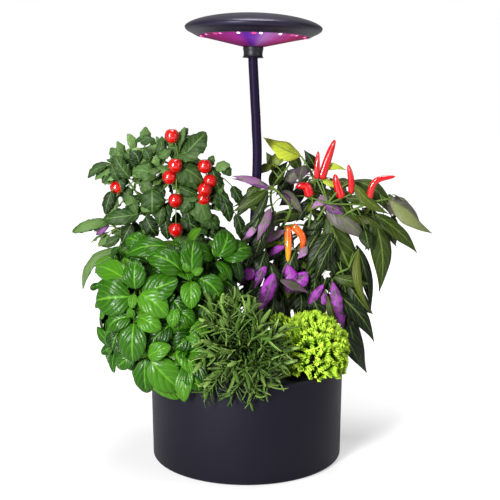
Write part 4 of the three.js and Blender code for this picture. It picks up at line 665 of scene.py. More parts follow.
CHILI_STEM = [
    [(0, 0, 0.045), (0.15, -0.10, 0.62), (0.29, -0.18, 1.27), (0.37, -0.20, 1.87)],
    [(0.24, -0.16, 1.07), (0.60, -0.26, 1.47), (0.90, -0.27, 1.64), (1.15, -0.25, 1.70)],
    [(0.15, -0.10, 0.62), (0.48, -0.34, 0.86), (0.72, -0.40, 0.98)],
    [(0.20, -0.13, 0.85), (0, -0.26, 1.37), (-0.10, -0.36, 1.77), (0.10, -0.28, 2.07)],
    [(0.29, -0.18, 1.27), (0.48, -0.26, 1.62), (0.62, -0.27, 1.80)],
    [(0.10, -0.06, 0.42), (-0.05, -0.34, 0.80), (-0.14, -0.40, 1.02)],
    [(0.37, -0.20, 1.87), (0.30, -0.19, 2.02), (0.22, -0.18, 2.14)],
    [(0, -0.26, 1.37), (0.10, -0.50, 1.62), (-0.04, -0.565, 1.82)],
    [(-0.05, -0.34, 0.80), (0, -0.53, 0.90), (-0.14, -0.575, 0.94)],
]
ROSEMARY_STEM = [
    [(0, 0, 0.045), (-0.14, -0.04, 0.40), (-0.36, -0.14, 0.70)],
    [(0, 0, 0.045), (-0.08, 0, 0.46), (-0.22, -0.08, 0.86)],
    [(0, 0, 0.045), (0, 0, 0.46), (-0.04, -0.04, 0.90)],
    [(0, 0, 0.045), (-0.16, -0.12, 0.30), (-0.30, -0.26, 0.44)],
    [(0, 0, 0.045), (-0.04, -0.14, 0.34), (-0.10, -0.28, 0.58)],
    [(0, 0, 0.045), (0.08, -0.10, 0.40), (0.12, -0.20, 0.62)],
    [(0, 0, 0.045), (0.10, -0.18, 0.32), (0.24, -0.31, 0.50)],
    [(0, 0, 0.045), (0.16, -0.20, 0.26), (0.36, -0.33, 0.34)],
    [(0, 0, 0.045), (0.10, -0.24, 0.20), (0.24, -0.40, 0.20)],
    [(0, 0, 0.045), (0, -0.24, 0.20), (-0.01, -0.43, 0.20)],
    [(0, 0, 0.06), (-0.20, -0.32, 0.20), (-0.30, -0.44, 0.08), (-0.40, -0.46, -0.04)],
    [(0, 0, 0.06), (0.05, -0.34, 0.20), (0.09, -0.45, 0.06), (0.10, -0.46, -0.06)],
]

# Basil's leaves sit in rosettes at its stems' ends: each is a tip, counted from the rosette, and a width
BASIL_ROSETTE = [
    ((-0.68, -0.06, 1.05), [(0.24, -0.12, -0.22, 0.30), (-0.28, -0.08, 0.04, 0.28),
      (-0.08, 0.14, 0.16, 0.26), (0.14, 0.10, 0.18, 0.24)]),
    ((-0.50, -0.26, 0.82), [(-0.42, -0.10, 0.10, 0.30), (-0.44, -0.06, -0.12, 0.28),
      (0.28, -0.14, -0.20, 0.26), (0.36, 0.02, 0.06, 0.30)]),
    ((-0.53, -0.34, 0.59), [(-0.26, -0.10, -0.14, 0.24), (0.26, -0.10, -0.12, 0.24),
      (-0.04, -0.14, -0.50, 0.28)]),
    ((-0.40, -0.44, 0.21), [(0.32, -0.18, -0.36, 0.30), (0.20, -0.06, 0.12, 0.20),
      (-0.14, -0.04, -0.20, 0.18)]),
    ((-0.01, -0.64, 0.29), [(-0.02, -0.14, -0.42, 0.20), (-0.16, -0.06, -0.06, 0.18)]),
    ((-0.15, -0.37, 0.58), [(-0.02, -0.12, -0.20, 0.14), (0.12, -0.04, 0.08, 0.14)]),
    ((0.02, -0.17, 1), [(-0.06, 0.02, 0.34, 0.30), (-0.03, -0.12, -0.28, 0.18),
      (0.24, -0.08, -0.20, 0.22), (-0.44, -0.04, 0.13, 0.28)]),
    ((0.28, -0.10, 1.16), [(0.08, 0.06, 0.28, 0.18), (0.35, 0.02, 0.04, 0.24), (0.09, -0.10, -0.24, 0.10)]),
    ((-0.46, 0.18, 1.19), [(-0.22, 0.04, 0.12, 0.26), (0.20, 0, -0.06, 0.22)]),
    ((-0.05, 0.13, 1.26), [(0.16, -0.04, 0.17, 0.20), (-0.20, 0, -0.06, 0.22)]),
    ((-0.33, 0.24, 0.82), [(-0.24, 0.06, 0.06, 0.26), (0.22, 0.04, 0.08, 0.24)]),
    ((-0.66, 0.04, 0.70), [(-0.24, 0.10, -0.10, 0.26), (-0.10, 0.12, -0.30, 0.24)]),
]

# Leaves of the tomato and the chili: base, tip, width and sway
TOMATO_LEAF_TABLE = [
    (-0.35, -0.04, 2.11, -0.07, -0.06, 2.32, 0.28, 0), (-0.37, -0.10, 2.02, -0.11, -0.12, 1.85, 0.22, 0),
    (-0.57, -0.08, 1.76, -0.77, -0.12, 1.54, 0.25, 0), (-0.65, -0.04, 2.02, -0.90, -0.06, 1.93, 0.20, 0),
    (-0.73, 0, 2.05, -0.93, 0, 2.20, 0.18, 0), (-0.93, 0.02, 2.02, -1.09, 0, 2.12, 0.12, 0),
    (-0.93, 0, 2, -1.07, -0.04, 1.90, 0.14, 0), (-0.91, 0.02, 2.04, -0.99, 0.02, 2.20, 0.12, 0),
    (-1.05, 0, 2, -1.35, -0.04, 1.90, 0.08, 0.22), (-1.07, -0.01, 1.74, -1.17, -0.04, 1.47, 0.12, -0.15),
    (-0.83, -0.02, 1.70, -0.86, -0.08, 1.48, 0.10, 0), (-0.93, -0.02, 1.52, -1.15, -0.08, 1.42, 0.20, 0),
    (-1.13, -0.04, 1.42, -1.51, -0.10, 1.31, 0.14, 0), (-1.13, -0.04, 1.28, -1.25, -0.08, 1.16, 0.10, 0),
    (-1.03, -0.06, 1.14, -1.42, -0.14, 0.70, 0.12, 0.16),
    (-0.99, -0.04, 1.12, -1.28, -0.10, 0.88, 0.08, 0.08), (-0.53, -0.04, 2.18, -0.61, -0.04, 2.34, 0.08, 0),
    (-0.36, -0.06, 2.24, -0.30, -0.06, 2.44, 0.08, 0), (-0.25, -0.08, 1.66, -0.07, -0.14, 1.40, 0.18, 0),
    (-0.31, -0.08, 1.64, -0.25, -0.14, 1.40, 0.14, 0), (-0.49, -0.04, 1.64, -0.53, -0.10, 1.40, 0.14, 0),
    (0.01, -0.06, 2, 0.18, -0.10, 2.04, 0.14, 0), (0, -0.04, 1.94, 0.09, -0.10, 1.74, 0.14, 0),
    (-0.05, -0.04, 2.02, 0, -0.06, 2.14, 0.10, 0), (-0.01, -0.04, 1.78, 0.17, -0.12, 1.64, 0.14, 0),
    (-0.13, -0.06, 1.52, 0.05, -0.12, 1.34, 0.16, 0),
]
CHILI_LEAF_TABLE = [
    (0.22, -0.18, 2.14, -0.18, -0.22, 2.34, 0.22, -0.12), (-0.13, -0.26, 2.02, 0.11, -0.24, 2.22, 0.14, 0),
    (-0.09, -0.34, 2.07, -0.27, -0.40, 1.96, 0.10, 0), (-0.08, -0.555, 1.83, -0.50, -0.58, 1.94, 0.08, 0),
    (0.13, -0.24, 1.64, -0.05, -0.28, 1.78, 0.10, 0), (-0.08, -0.34, 1.58, -0.22, -0.40, 1.24, 0.08, -0.15),
    (-0.13, -0.36, 1.77, -0.50, -0.34, 1.62, 0.08, 0), (1.15, -0.26, 1.69, 1.60, -0.32, 1.34, 0.16, 0.14),
    (0.77, -0.24, 1.86, 1.15, -0.28, 1.54, 0.14, 0.14), (0.83, -0.34, 1.18, 0.96, -0.40, 0.52, 0.10, 0.14),
    (0.55, -0.40, 0.84, 0.65, -0.44, 0.34, 0.12, 0), (0.49, -0.40, 0.70, 0.61, -0.43, 0.20, 0.10, 0),
    (0.89, -0.28, 1.38, 0.93, -0.36, 1.16, 0.16, 0), (0.47, -0.28, 1.64, 0.67, -0.34, 1.54, 0.12, 0),
    (-0.25, -0.56, 0.94, -0.44, -0.58, 0.82, 0.10, 0), (-0.17, -0.40, 1, -0.23, -0.40, 0.74, 0.06, 0),
    (-0.05, -0.42, 0.92, -0.15, -0.48, 0.52, 0.12, 0), (0.07, -0.38, 0.96, 0.08, -0.44, 0.65, 0.18, 0),
    (0.27, -0.36, 0.90, 0.15, -0.42, 0.67, 0.14, 0), (0.47, -0.36, 0.76, 0.43, -0.42, 0.52, 0.10, 0),
    (0.45, -0.32, 1.30, 0.30, -0.40, 0.89, 0.18, 0), (0.57, -0.32, 1.26, 0.45, -0.36, 1.10, 0.10, 0),
    (0.09, -0.34, 1.26, -0.30, -0.36, 1.16, 0.06, 0),
]
# Paint of the chili's leaves by their row: shares of purple, of lightness (drawn for the others) and of cream
CHILI_PURPLE = {3: 0.35, 4: 0.4, 5: 0.4, 10: 0.8, 13: 0.4, 14: 0.95, 19: 0.9, 21: 0.9}
CHILI_LIGHT = {0: 0.95, 1: 0.3, 8: 0.1}
CHILI_CREAM = {7: 0.1}

# Leaves round the back: their middle, reach, width, count and the turns in degrees that they span
TOMATO_BACK = [
    ((-0.25, 0.08, 1.15), (0.40, 0.30, -0.20), 0.18, 2, 40, 130),
    ((-0.42, 0.04, 1.60), (0.42, 0.32, -0.10), 0.19, 3, 25, 155),
    ((-0.60, 0.02, 1.95), (0.30, 0.30, 0.06), 0.16, 2, 50, 130),
]
CHILI_BACK = [
    ((0.20, -0.12, 1), (0.45, 0.46, -0.34), 0.18, 2, 30, 110),
    ((0.30, -0.16, 1.50), (0.48, 0.44, -0.30), 0.18, 3, 20, 140),
    ((0.36, -0.20, 1.86), (0.40, 0.40, -0.04), 0.14, 2, 50, 140),
]

# Leaves at the front of the crowns, by the photograph's pixels: the base's two, the tip's two, the width in
# pixels, the layer from 0, the hindmost, and the tone
# The dark tone, mostly on the hindmost leaves, is partly the plants' own deep green and partly painted shade
# between the leaves in front.
TONES = {  # purple share, lightness, cream share and shade from 0, the darkest
    "dark": (0.0, 0.0, 0.0, 0.0), "green": (0.0, 0.04, 0.0, 0.5), "fresh": (0.0, 0.2, 0.0, 0.9),
    "lime": (0.0, 0.95, 0.0, 0.9), "grey": (0.1, 0.0, 0.1, 0.7), "pink": (0.5, 0.1, 0.06, 0.5),
    "purple": (1.0, 0.0, 0.0, 0.2), "lilac": (0.8, 0.0, 0.15, 0.4),
}
CHILI_TOP_PIXELS = [
    (270, 187, 288, 161, 14, 2, "green"), (284, 181, 304, 168, 13, 1, "grey"),
    (281, 190, 303, 213, 13, 2, "grey"), (316, 170, 304, 150, 12, 1, "dark"),
    (300, 170, 287, 148, 13, 1, "green"), (277, 172, 266, 152, 12, 1, "green"),
    (300, 214, 279, 224, 14, 1, "green"), (322, 224, 303, 246, 14, 1, "dark"),
    (324, 216, 307, 230, 12, 2, "dark"), (296, 196, 279, 206, 12, 1, "dark"),
    (320, 177, 343, 188, 7, 3, "lime"), (320, 168, 346, 170, 8, 3, "lime"),
    (329, 196, 311, 209, 10, 3, "lilac"), (341, 205, 364, 226, 11, 3, "green"),
    (346, 199, 371, 208, 10, 2, "green"), (324, 203, 367, 240, 23, 2, "grey"),
    (352, 208, 371, 236, 16, 1, "dark"), (353, 180, 392, 218, 18, 0, "green"),
    (336, 196, 352, 214, 14, 0, "dark"), (383, 200, 420, 222, 20, 1, "grey"),
    (373, 213, 417, 253, 16, 2, "green"), (372, 212, 379, 292, 22, 2, "green"),
    (375, 227, 365, 250, 15, 1, "dark"), (362, 208, 386, 226, 14, 0, "dark"),
    (327, 214, 361, 292, 28, 2, "green"), (336, 236, 354, 294, 25, 1, "dark"),
    (357, 245, 371, 309, 13, 1, "dark"), (352, 262, 364, 300, 15, 0, "dark"),
    (312, 200, 296, 222, 14, 0, "dark"), (308, 182, 322, 204, 12, 0, "green"),
    (330, 178, 344, 200, 12, 0, "dark"), (288, 176, 276, 196, 11, 0, "dark"),
]
CHILI_LOW_PIXELS = [
    (285, 230, 254, 247, 9, 2, "pink"), (285, 246, 265, 260, 7, 3, "purple"),
    (287, 264, 287, 297, 18, 3, "purple"), (308, 272, 291, 294, 15, 3, "purple"),
    (307, 246, 297, 259, 8, 3, "lilac"), (330, 233, 305, 273, 18, 2, "dark"),
    (335, 238, 315, 282, 15, 3, "dark"), (332, 240, 328, 262, 9, 3, "lilac"),
    (324, 284, 307, 312, 8, 3, "purple"), (310, 288, 326, 322, 22, 1, "dark"),
    (300, 292, 296, 324, 18, 1, "dark"), (284, 290, 272, 324, 17, 1, "dark"),
    (332, 290, 374, 342, 19, 2, "dark"), (336, 294, 344, 328, 17, 3, "purple"),
    (347, 310, 367, 373, 20, 2, "dark"), (341, 324, 363, 368, 15, 2, "dark"),
    (325, 312, 336, 342, 12, 1, "dark"), (336, 328, 350, 362, 13, 1, "dark"),
    (333, 277, 370, 284, 12, 2, "green"), (330, 250, 322, 290, 20, 1, "dark"),
    (316, 262, 312, 298, 20, 0, "dark"), (296, 250, 281, 282, 20, 0, "dark"),
    (280, 238, 264, 264, 18, 0, "dark"), (275, 226, 257, 238, 13, 0, "green"),
    (348, 284, 373, 314, 17, 1, "dark"), (300, 306, 283, 330, 16, 1, "dark"),
    (292, 232, 279, 248, 12, 0, "dark"), (318, 234, 306, 256, 14, 0, "dark"),
    (326, 300, 342, 330, 18, 0, "dark"), (306, 280, 322, 306, 16, 0, "dark"),
    (292, 300, 306, 328, 16, 0, "dark"), (346, 296, 356, 334, 17, 0, "dark"),
    (334, 258, 328, 294, 17, 0, "dark"), (322, 250, 318, 280, 16, 0, "dark"),
    (340, 262, 346, 300, 18, 0, "dark"), (288, 266, 280, 300, 18, 0, "dark"),
    (298, 292, 288, 326, 19, 0, "dark"), (286, 304, 276, 334, 18, 0, "dark"),
]
CHILI_NECK_PIXELS = [  # those that hide the lamp's neck
    (266, 186, 232, 176, 9, 3, "pink"), (267, 190, 232, 212, 11, 3, "green"),
    (268, 190, 245, 230, 8, 3, "dark"), (271, 208, 257, 242, 11, 3, "pink"),
    (258, 222, 241, 242, 7, 3, "lilac"), (265, 260, 254, 289, 10, 3, "purple"),
    (256, 268, 237, 280, 12, 3, "purple"), (274, 273, 258, 313, 15, 3, "purple"),
    (266, 284, 250, 320, 14, 2, "dark"), (266, 300, 246, 324, 14, 1, "dark"),
    (262, 206, 250, 236, 13, 1, "dark"), (250, 192, 236, 218, 12, 1, "dark"),
    (262, 232, 252, 262, 15, 1, "dark"), (250, 222, 240, 250, 13, 0, "dark"),
    (266, 250, 256, 284, 16, 1, "dark"), (252, 246, 244, 274, 14, 1, "dark"),
    (254, 276, 246, 306, 15, 1, "dark"), (262, 288, 256, 322, 15, 0, "dark"),
    (246, 286, 238, 310, 13, 0, "dark"), (272, 216, 262, 244, 12, 0, "dark"),
    (248, 196, 262, 214, 11, 1, "green"), (258, 186, 246, 202, 10, 1, "green"),
    (274, 296, 264, 330, 17, 0, "dark"), (282, 300, 270, 336, 17, 0, "dark"),
    (270, 262, 276, 296, 17, 0, "dark"), (240, 262, 236, 284, 13, 0, "dark"),
]
TOMATO_PIXELS = [
    (186, 153, 206, 132, 24, 2, "green"), (181, 139, 188, 128, 9, 1, "green"),
    (184, 163, 197, 187, 26, 2, "green"), (156, 178, 132, 171, 19, 2, "fresh"),
    (152, 189, 152, 214, 26, 2, "green"), (128, 195, 137, 215, 11, 2, "fresh"),
    (112, 191, 105, 214, 13, 1, "dark"), (140, 214, 103, 219, 18, 2, "green"),
    (104, 222, 72, 232, 12, 1, "fresh"), (108, 224, 96, 235, 7, 1, "purple"),
    (130, 178, 115, 156, 15, 2, "green"), (118, 180, 112, 164, 10, 1, "green"),
    (139, 164, 130, 150, 14, 1, "dark"), (150, 160, 144, 149, 11, 1, "green"),
    (158, 157, 162, 136, 9, 1, "green"), (160, 158, 171, 149, 10, 2, "fresh"),
    (106, 166, 88, 178, 9, 1, "green"), (108, 173, 102, 183, 7, 1, "green"),
    (211, 166, 220, 192, 14, 1, "dark"), (221, 162, 231, 176, 12, 1, "green"),
    (192, 195, 181, 213, 16, 2, "green"), (199, 198, 209, 228, 17, 2, "fresh"),
    (181, 220, 200, 231, 14, 1, "dark"), (180, 187, 198, 195, 11, 1, "green"),
    (211, 214, 219, 228, 10, 1, "green"), (163, 206, 160, 226, 12, 1, "green"),
    (146, 216, 158, 236, 17, 0, "dark"), (132, 224, 122, 243, 15, 0, "dark"),
    (164, 215, 168, 240, 14, 0, "dark"), (120, 236, 101, 246, 10, 1, "green"),
    (222, 196, 230, 222, 14, 0, "dark"), (232, 186, 243, 206, 12, 0, "dark"),
    (214, 228, 232, 240, 13, 0, "dark"), (236, 214, 242, 240, 12, 0, "dark"),
    (140, 196, 128, 210, 12, 0, "dark"), (164, 188, 156, 200, 12, 1, "dark"),
]
BASIL_PIXELS = [
    (131, 297, 96, 301, 32, 3, "green"), (128, 281, 96, 267, 21, 2, "fresh"),
    (135, 289, 136, 260, 20, 3, "green"), (143, 293, 178, 279, 26, 2, "green"),
    (140, 294, 167, 317, 23, 3, "fresh"), (134, 294, 131, 309, 9, 3, "fresh"),
    (130, 317, 108, 330, 19, 3, "green"), (139, 317, 161, 330, 18, 3, "fresh"),
    (134, 323, 133, 362, 25, 3, "green"), (134, 317, 128, 308, 7, 3, "fresh"),
    (148, 357, 171, 346, 16, 3, "fresh"), (145, 359, 147, 393, 19, 2, "green"),
    (151, 361, 182, 391, 28, 3, "fresh"), (134, 354, 117, 367, 15, 2, "green"),
    (190, 362, 199, 391, 23, 2, "green"), (206, 324, 192, 339, 15, 2, "fresh"),
    (206, 349, 196, 367, 19, 1, "dark"), (192, 273, 194, 240, 21, 3, "green"),
    (191, 281, 191, 309, 18, 3, "fresh"), (199, 279, 220, 301, 21, 2, "green"),
    (218, 257, 226, 230, 22, 3, "green"), (222, 257, 251, 248, 24, 3, "green"),
    (217, 261, 231, 281, 14, 2, "green"), (213, 257, 184, 246, 19, 2, "green"),
    (168, 247, 128, 254, 21, 2, "green"), (182, 272, 147, 256, 25, 2, "green"),
    (175, 307, 172, 328, 12, 2, "fresh"), (180, 312, 194, 324, 15, 2, "green"),
    (170, 325, 151, 343, 20, 1, "dark"), (192, 333, 175, 349, 20, 1, "dark"),
    (172, 298, 183, 314, 18, 1, "dark"), (108, 266, 95, 273, 13, 1, "green"),
    (100, 285, 90, 287, 7, 1, "dark"), (190, 272, 183, 262, 7, 3, "fresh"),
    (193, 275, 203, 268, 7, 3, "fresh"), (217, 257, 212, 247, 7, 3, "fresh"),
    (146, 357, 138, 349, 7, 3, "fresh"), (160, 300, 148, 318, 16, 1, "dark"),
    (118, 332, 112, 350, 16, 1, "dark"), (156, 330, 160, 352, 18, 1, "dark"),
    (168, 262, 180, 246, 18, 1, "dark"), (204, 262, 200, 242, 16, 1, "dark"),
    (122, 340, 128, 362, 15, 1, "dark"), (206, 300, 214, 322, 18, 1, "dark"),
    (196, 318, 206, 340, 16, 1, "dark"), (176, 356, 166, 376, 18, 1, "dark"),
    (205, 372, 214, 390, 16, 1, "dark"), (228, 268, 241, 282, 14, 1, "dark"),
    (150, 262, 136, 248, 15, 1, "dark"), (112, 258, 122, 247, 13, 1, "dark"),
    (220, 286, 228, 308, 16, 0, "dark"), (200, 300, 214, 330, 18, 0, "dark"),
    (208, 340, 218, 362, 16, 0, "dark"), (196, 352, 204, 382, 18, 0, "dark"),
    (222, 262, 233, 290, 17, 0, "dark"), (234, 256, 240, 284, 14, 0, "dark"),
    (222, 280, 236, 300, 15, 0, "dark"), (138, 346, 150, 362, 14, 0, "dark"),
]
FLOWER_PIXEL = (326, 274)
# Rosemary's sprigs: the foot's two pixels, the tip's two, and the needles' length in millimetres
ROSEMARY_PIXELS = [
    (214, 328, 211, 299, 17), (226, 346, 229, 316, 18), (236, 332, 250, 306, 18), (248, 346, 262, 322, 18),
    (258, 352, 282, 328, 18), (264, 362, 286, 366, 18), (242, 360, 222, 371, 17), (247, 364, 244, 386, 18),
    (236, 350, 212, 356, 18), (229, 332, 204, 322, 17), (256, 368, 270, 388, 17), (268, 350, 290, 352, 17),
    (246, 380, 256, 397, 19), (222, 368, 205, 388, 13), (218, 345, 199, 342, 16), (232, 304, 240, 296, 15),
    (240, 345, 236, 322, 18), (252, 338, 272, 340, 18), (232, 362, 236, 380, 17), (256, 330, 252, 312, 16),
    (224, 320, 222, 302, 16), (262, 376, 280, 380, 15), (210, 350, 200, 366, 15), (240, 316, 232, 300, 16),
]

# Fruit: tomatoes as middles on a stalk, peppers as curved middles from stalk end to tip with a radius
TOMATO_TRUSS = {
    "tomato_truss_mid": {
      "stalk": [[-0.37, -0.065, 2.10], [-0.39, -0.14, 1.90], [-0.40, -0.15, 1.60], [-0.405, -0.15, 1.40]],
      "fruit": [[-0.435, -0.14, 2.35], [-0.40, -0.20, 2.045], [-0.465, -0.13, 1.915], [-0.405, -0.15, 1.67],
        [-0.405, -0.15, 1.355]],
    },
    "tomato_truss_right": {
      "stalk": [[-0.03, -0.065, 1.82], [-0.075, -0.10, 1.90], [-0.07, -0.12, 1.80], [-0.11, -0.11, 1.68]],
      "fruit": [[-0.09, -0.12, 2.03], [-0.035, -0.10, 1.87], [-0.09, -0.17, 1.785], [-0.11, -0.09, 1.675]],
    },
    "tomato_left": {
      "stalk": [[-0.99, -0.015, 1.96], [-1.02, -0.02, 1.88], [-1.045, 0.01, 1.82]],
      "fruit": [[-1.045, 0.01, 1.79]],
    },
}
PEPPER = {
    "chili_fruit_red": {
      "crown": [0.50, -0.29, 1.65],
      "fruit": [
        [[0.38, -0.25, 1.91], [0.385, -0.26, 2.05], [0.395, -0.26, 2.20], 0.027],
        [[0.43, -0.22, 1.90], [0.50, -0.225, 2.12], [0.57, -0.24, 2.32], 0.04],
        [[0.65, -0.24, 1.70], [0.60, -0.25, 1.84], [0.57, -0.26, 1.96], 0.04],
        [[0.75, -0.24, 1.75], [0.74, -0.25, 1.92], [0.71, -0.26, 2.06], 0.032],
        [[0.92, -0.26, 1.64], [0.99, -0.29, 1.88], [1.20, -0.31, 1.94], 0.032],
        [[0.31, -0.25, 1.72], [0.27, -0.26, 1.83], [0.16, -0.28, 1.83], 0.045],
      ],
    },
    "chili_fruit_orange": {
      "crown": [-0.02, -0.30, 1.40],
      "fruit": [
        [[0.08, -0.33, 1.42], [0.085, -0.38, 1.22], [0.08, -0.38, 1.04], 0.035],
        [[0.13, -0.33, 1.43], [0.23, -0.36, 1.31], [0.23, -0.36, 1.14], 0.036],
      ],
    },
}


# Pot, inside and out
def pot_profile():
    """The shell's section, from the middle of its underside round to the middle of its floor."""
    base, under, recess, recess_height = 99.5 * MM, 1.2 * MM, 93.3 * MM, 2.3 * MM
    edge, wall, fillet, floor, inner = 1.4 * MM, 2.6 * MM, 7 * MM, 5.3 * MM, 96.9 * MM
    ledge, ledge_depth, ledge_step = 94.7 * MM, 3 * MM, 3.5 * MM
    rim, soft = POT_RADIUS - wall, edge / 3
    return [
        (0, recess_height), (recess, recess_height), (recess, under),
        *arc(base - edge, under + edge, edge, -90, 0, 8),
        *arc(POT_RADIUS - edge, RIM - edge, edge, 0, 90, 8),
        *arc(rim + soft, RIM - soft, soft, 90, 180, 4),
        (rim, ledge), (rim - ledge_step, ledge), (rim - ledge_step, ledge - ledge_depth),
        (rim, ledge - ledge_depth - ledge_step),
        *arc(inner - fillet, floor + fillet, fillet, 0, -90, 10),
        (0, floor),
    ]


def pot_wall():
    pot = lathe("pot", pot_profile(), 180, pot_plastic, "pot")
    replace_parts(pot, "pot_shell")


# Gooseneck: a sleeve in sections, cut between the points where it bends
NECK_RADIUS = 4.8 * MM
SOCKET_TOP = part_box("neck_socket")[1].z
NECK_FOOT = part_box("neck_lower")[0].z
NECK_CURVE = [(4.8 * MM, 0, 190 * MM), (10.6 * MM, 0, 300 * MM)]
NECK_TOP = 11.5 * MM  # above the last bend
STATION_STEP = 22 * MM
BENDS = [Vector((x * MM, 0, z * MM)) for x, z in [(9.8, 345), (8.7, 367), (7.6, 389), (6.5, 411)]]
LAMP_LIFT = 31 * MM
LAMP_TURN = Matrix.Rotation(math.radians(-2), 4, "X") @ Matrix.Rotation(math.radians(1.2), 4, "Y")
LAMP_AXIS = LAMP_TURN @ Vector((0, 0, 1))
LAMP = Matrix.Translation(BENDS[-1] + LAMP_AXIS * LAMP_LIFT) @ LAMP_TURN
NECK_NODES = ["neck_lower", "neck_link_1", "neck_link_2", "neck_link_3", "neck_link_4"]


def neck_line():
    foot = [(0, 0, NECK_FOOT), (0, 0, SOCKET_TOP + CLEARANCE)]
    top = BENDS[-1] + LAMP_AXIS * NECK_TOP
    return smooth_line([tuple(place) for place in (*foot, *NECK_CURVE, *BENDS, top)], 24)


def stretch(line, low, high):
    """The points of a rising line between two heights, and those at the heights themselves."""
    heights = line[:, 2]
    ends = [
        [vec(*(np.interp(height, heights, line[:, c]) for c in (0, 1)), height)]
        if heights[0] < height < heights[-1] else []
        for height in (low, high)
    ]
    points = [*ends[0], *(p for p in line if low < p[2] < high), *ends[1]]
    apart = [np.linalg.norm(b - a) > 0.3 * MM for a, b in zip(points, points[1:])]
    return np.array([p for p, kept in zip(points, [True, *apart]) if kept])


def sleeve(name, line, body, sides=40):
    sections = crossways(line, np.gradient(line, axis=0), vec(1, 0, 0))
    rings = [around(*section, NECK_RADIUS, sides) for section in sections]
    obj = make_object(name, np.concatenate(rings), ring_faces(len(rings), sides), sleeve_rubber, body)
    soften(obj, 50)
    return obj


def neck():
    line = neck_line()
    stations = [((a + b) / 2).z for a, b in zip(BENDS, BENDS[1:])]
    cuts = [-FAR, BENDS[0].z - STATION_STEP / 2, *stations, FAR]
    for k, (low, high) in enumerate(zip(cuts, cuts[1:])):
        obj = sleeve("neck_sleeve_%d" % k, stretch(line, low, high), None if k else "deck")
        if k:
            bend, after = BENDS[k - 1], min(k, len(BENDS) - 1)
            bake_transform(obj)
        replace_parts(obj, NECK_NODES[k])


# Lamp, made about its own axis: a domed cover, a glowing cone under it and a collar round the neck
LAMP_RADIUS = 69 * MM
LAMP_DOME = 14 * MM
LAMP_POWER = 0.6
LAMP_WALL = 1.8 * MM
LIP_RADIUS = 57.5 * MM
LIP_DROP = 8.4 * MM
CONE_DROP = 10 * MM
CONE_INNER = 10.6 * MM
CONE_RIM = LIP_RADIUS - LAMP_WALL - CLEARANCE
LED_TURN = 45.0
LED_ANGLES = {"red": 0.3, "white": 7.5, "single": 29.0}  # from the lamp's front, and on by each turn
LED_REACH = 52.6 * MM
FRONT_LEDS = (-25, 35)  # the turns between which LEDs are seen from the front, larger and brighter
BLOOM = 2.2 * MM
CONE_TONES = [  # shares of a turn from the lamp's back, and colours
    (0.0, (120, 26, 104)), (0.25, (104, 12, 70)), (0.36, (160, 30, 116)), (0.44, (176, 48, 158)),
    (0.475, (112, 44, 180)), (0.505, (142, 72, 196)), (0.54, (196, 128, 212)), (0.6, (190, 70, 156)),
    (0.68, (164, 30, 92)), (0.78, (92, 10, 50)), (1.0, (120, 26, 104)),
]


def on_lamp(obj, where=LAMP):
    obj.matrix_world = where
    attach(obj, "lamp")


def lamp_lathe(name, profile, material, node, sides=160):
    obj = lathe(name, profile, sides, material, None)
    on_lamp(obj)
    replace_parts(obj, node)


def dome(reach, rise, end, steps):
    """Points of the lens-shaped dome's outline, closer together at its edge."""
    shares = np.sin(np.linspace(0, math.asin(end), steps))
    return [(s * reach, rise * max(0.0, 1 - s * s) ** LAMP_POWER) for s in shares]


def curve(points, steps):
    """A smooth stretch of a profile."""
    return [(p[0], p[1]) for p in smooth_line([(x, y, 0) for x, y in points], steps)]


def cover_profile():
    inner_reach = LAMP_RADIUS - 2 * LAMP_WALL
    side = curve([
        (LAMP_RADIUS, 0), (LAMP_RADIUS - 0.7 * MM, -1.9 * MM), (LAMP_RADIUS - 2.8 * MM, -3.8 * MM),
        (LIP_RADIUS + 3.4 * MM, -6.5 * MM), (LIP_RADIUS, -LIP_DROP),
    ], 6)
    return [
        *dome(LAMP_RADIUS, LAMP_DOME, 1.0, 48), *side[1:], (LIP_RADIUS - LAMP_WALL, -LIP_DROP),
        (inner_reach - 1.5 * LAMP_WALL, -LIP_DROP / 3),
        *dome(inner_reach, LAMP_DOME - LAMP_WALL, 0.94, 24)[::-1],
    ]


def cone_profile():
    low, high, wall = -LIP_DROP - CONE_DROP, -LIP_DROP + 2 * MM, 1.5 * MM
    return [
        (CONE_INNER, low), (CONE_RIM, -LIP_DROP), (CONE_RIM, high), (CONE_RIM - wall, high),
        (CONE_RIM - wall, -LIP_DROP + wall), (CONE_INNER, low + wall),
    ]


def collar_profile():
    top = -LIP_DROP - CONE_DROP - CLEARANCE
    low = top - 10.4 * MM
    bore, slant = NECK_RADIUS + CLEARANCE, 1.7 * MM
    waist = [(10.3 * MM, top - slant), (9.6 * MM, (top + low) / 2), (9.7 * MM, low + slant), (10.8 * MM, low)]
    return [
        (bore, top), (9.8 * MM, top), (10.3 * MM, top - 0.5 * MM), *curve(waist, 5), (bore + slant, low),
        (bore, low + slant),
    ]


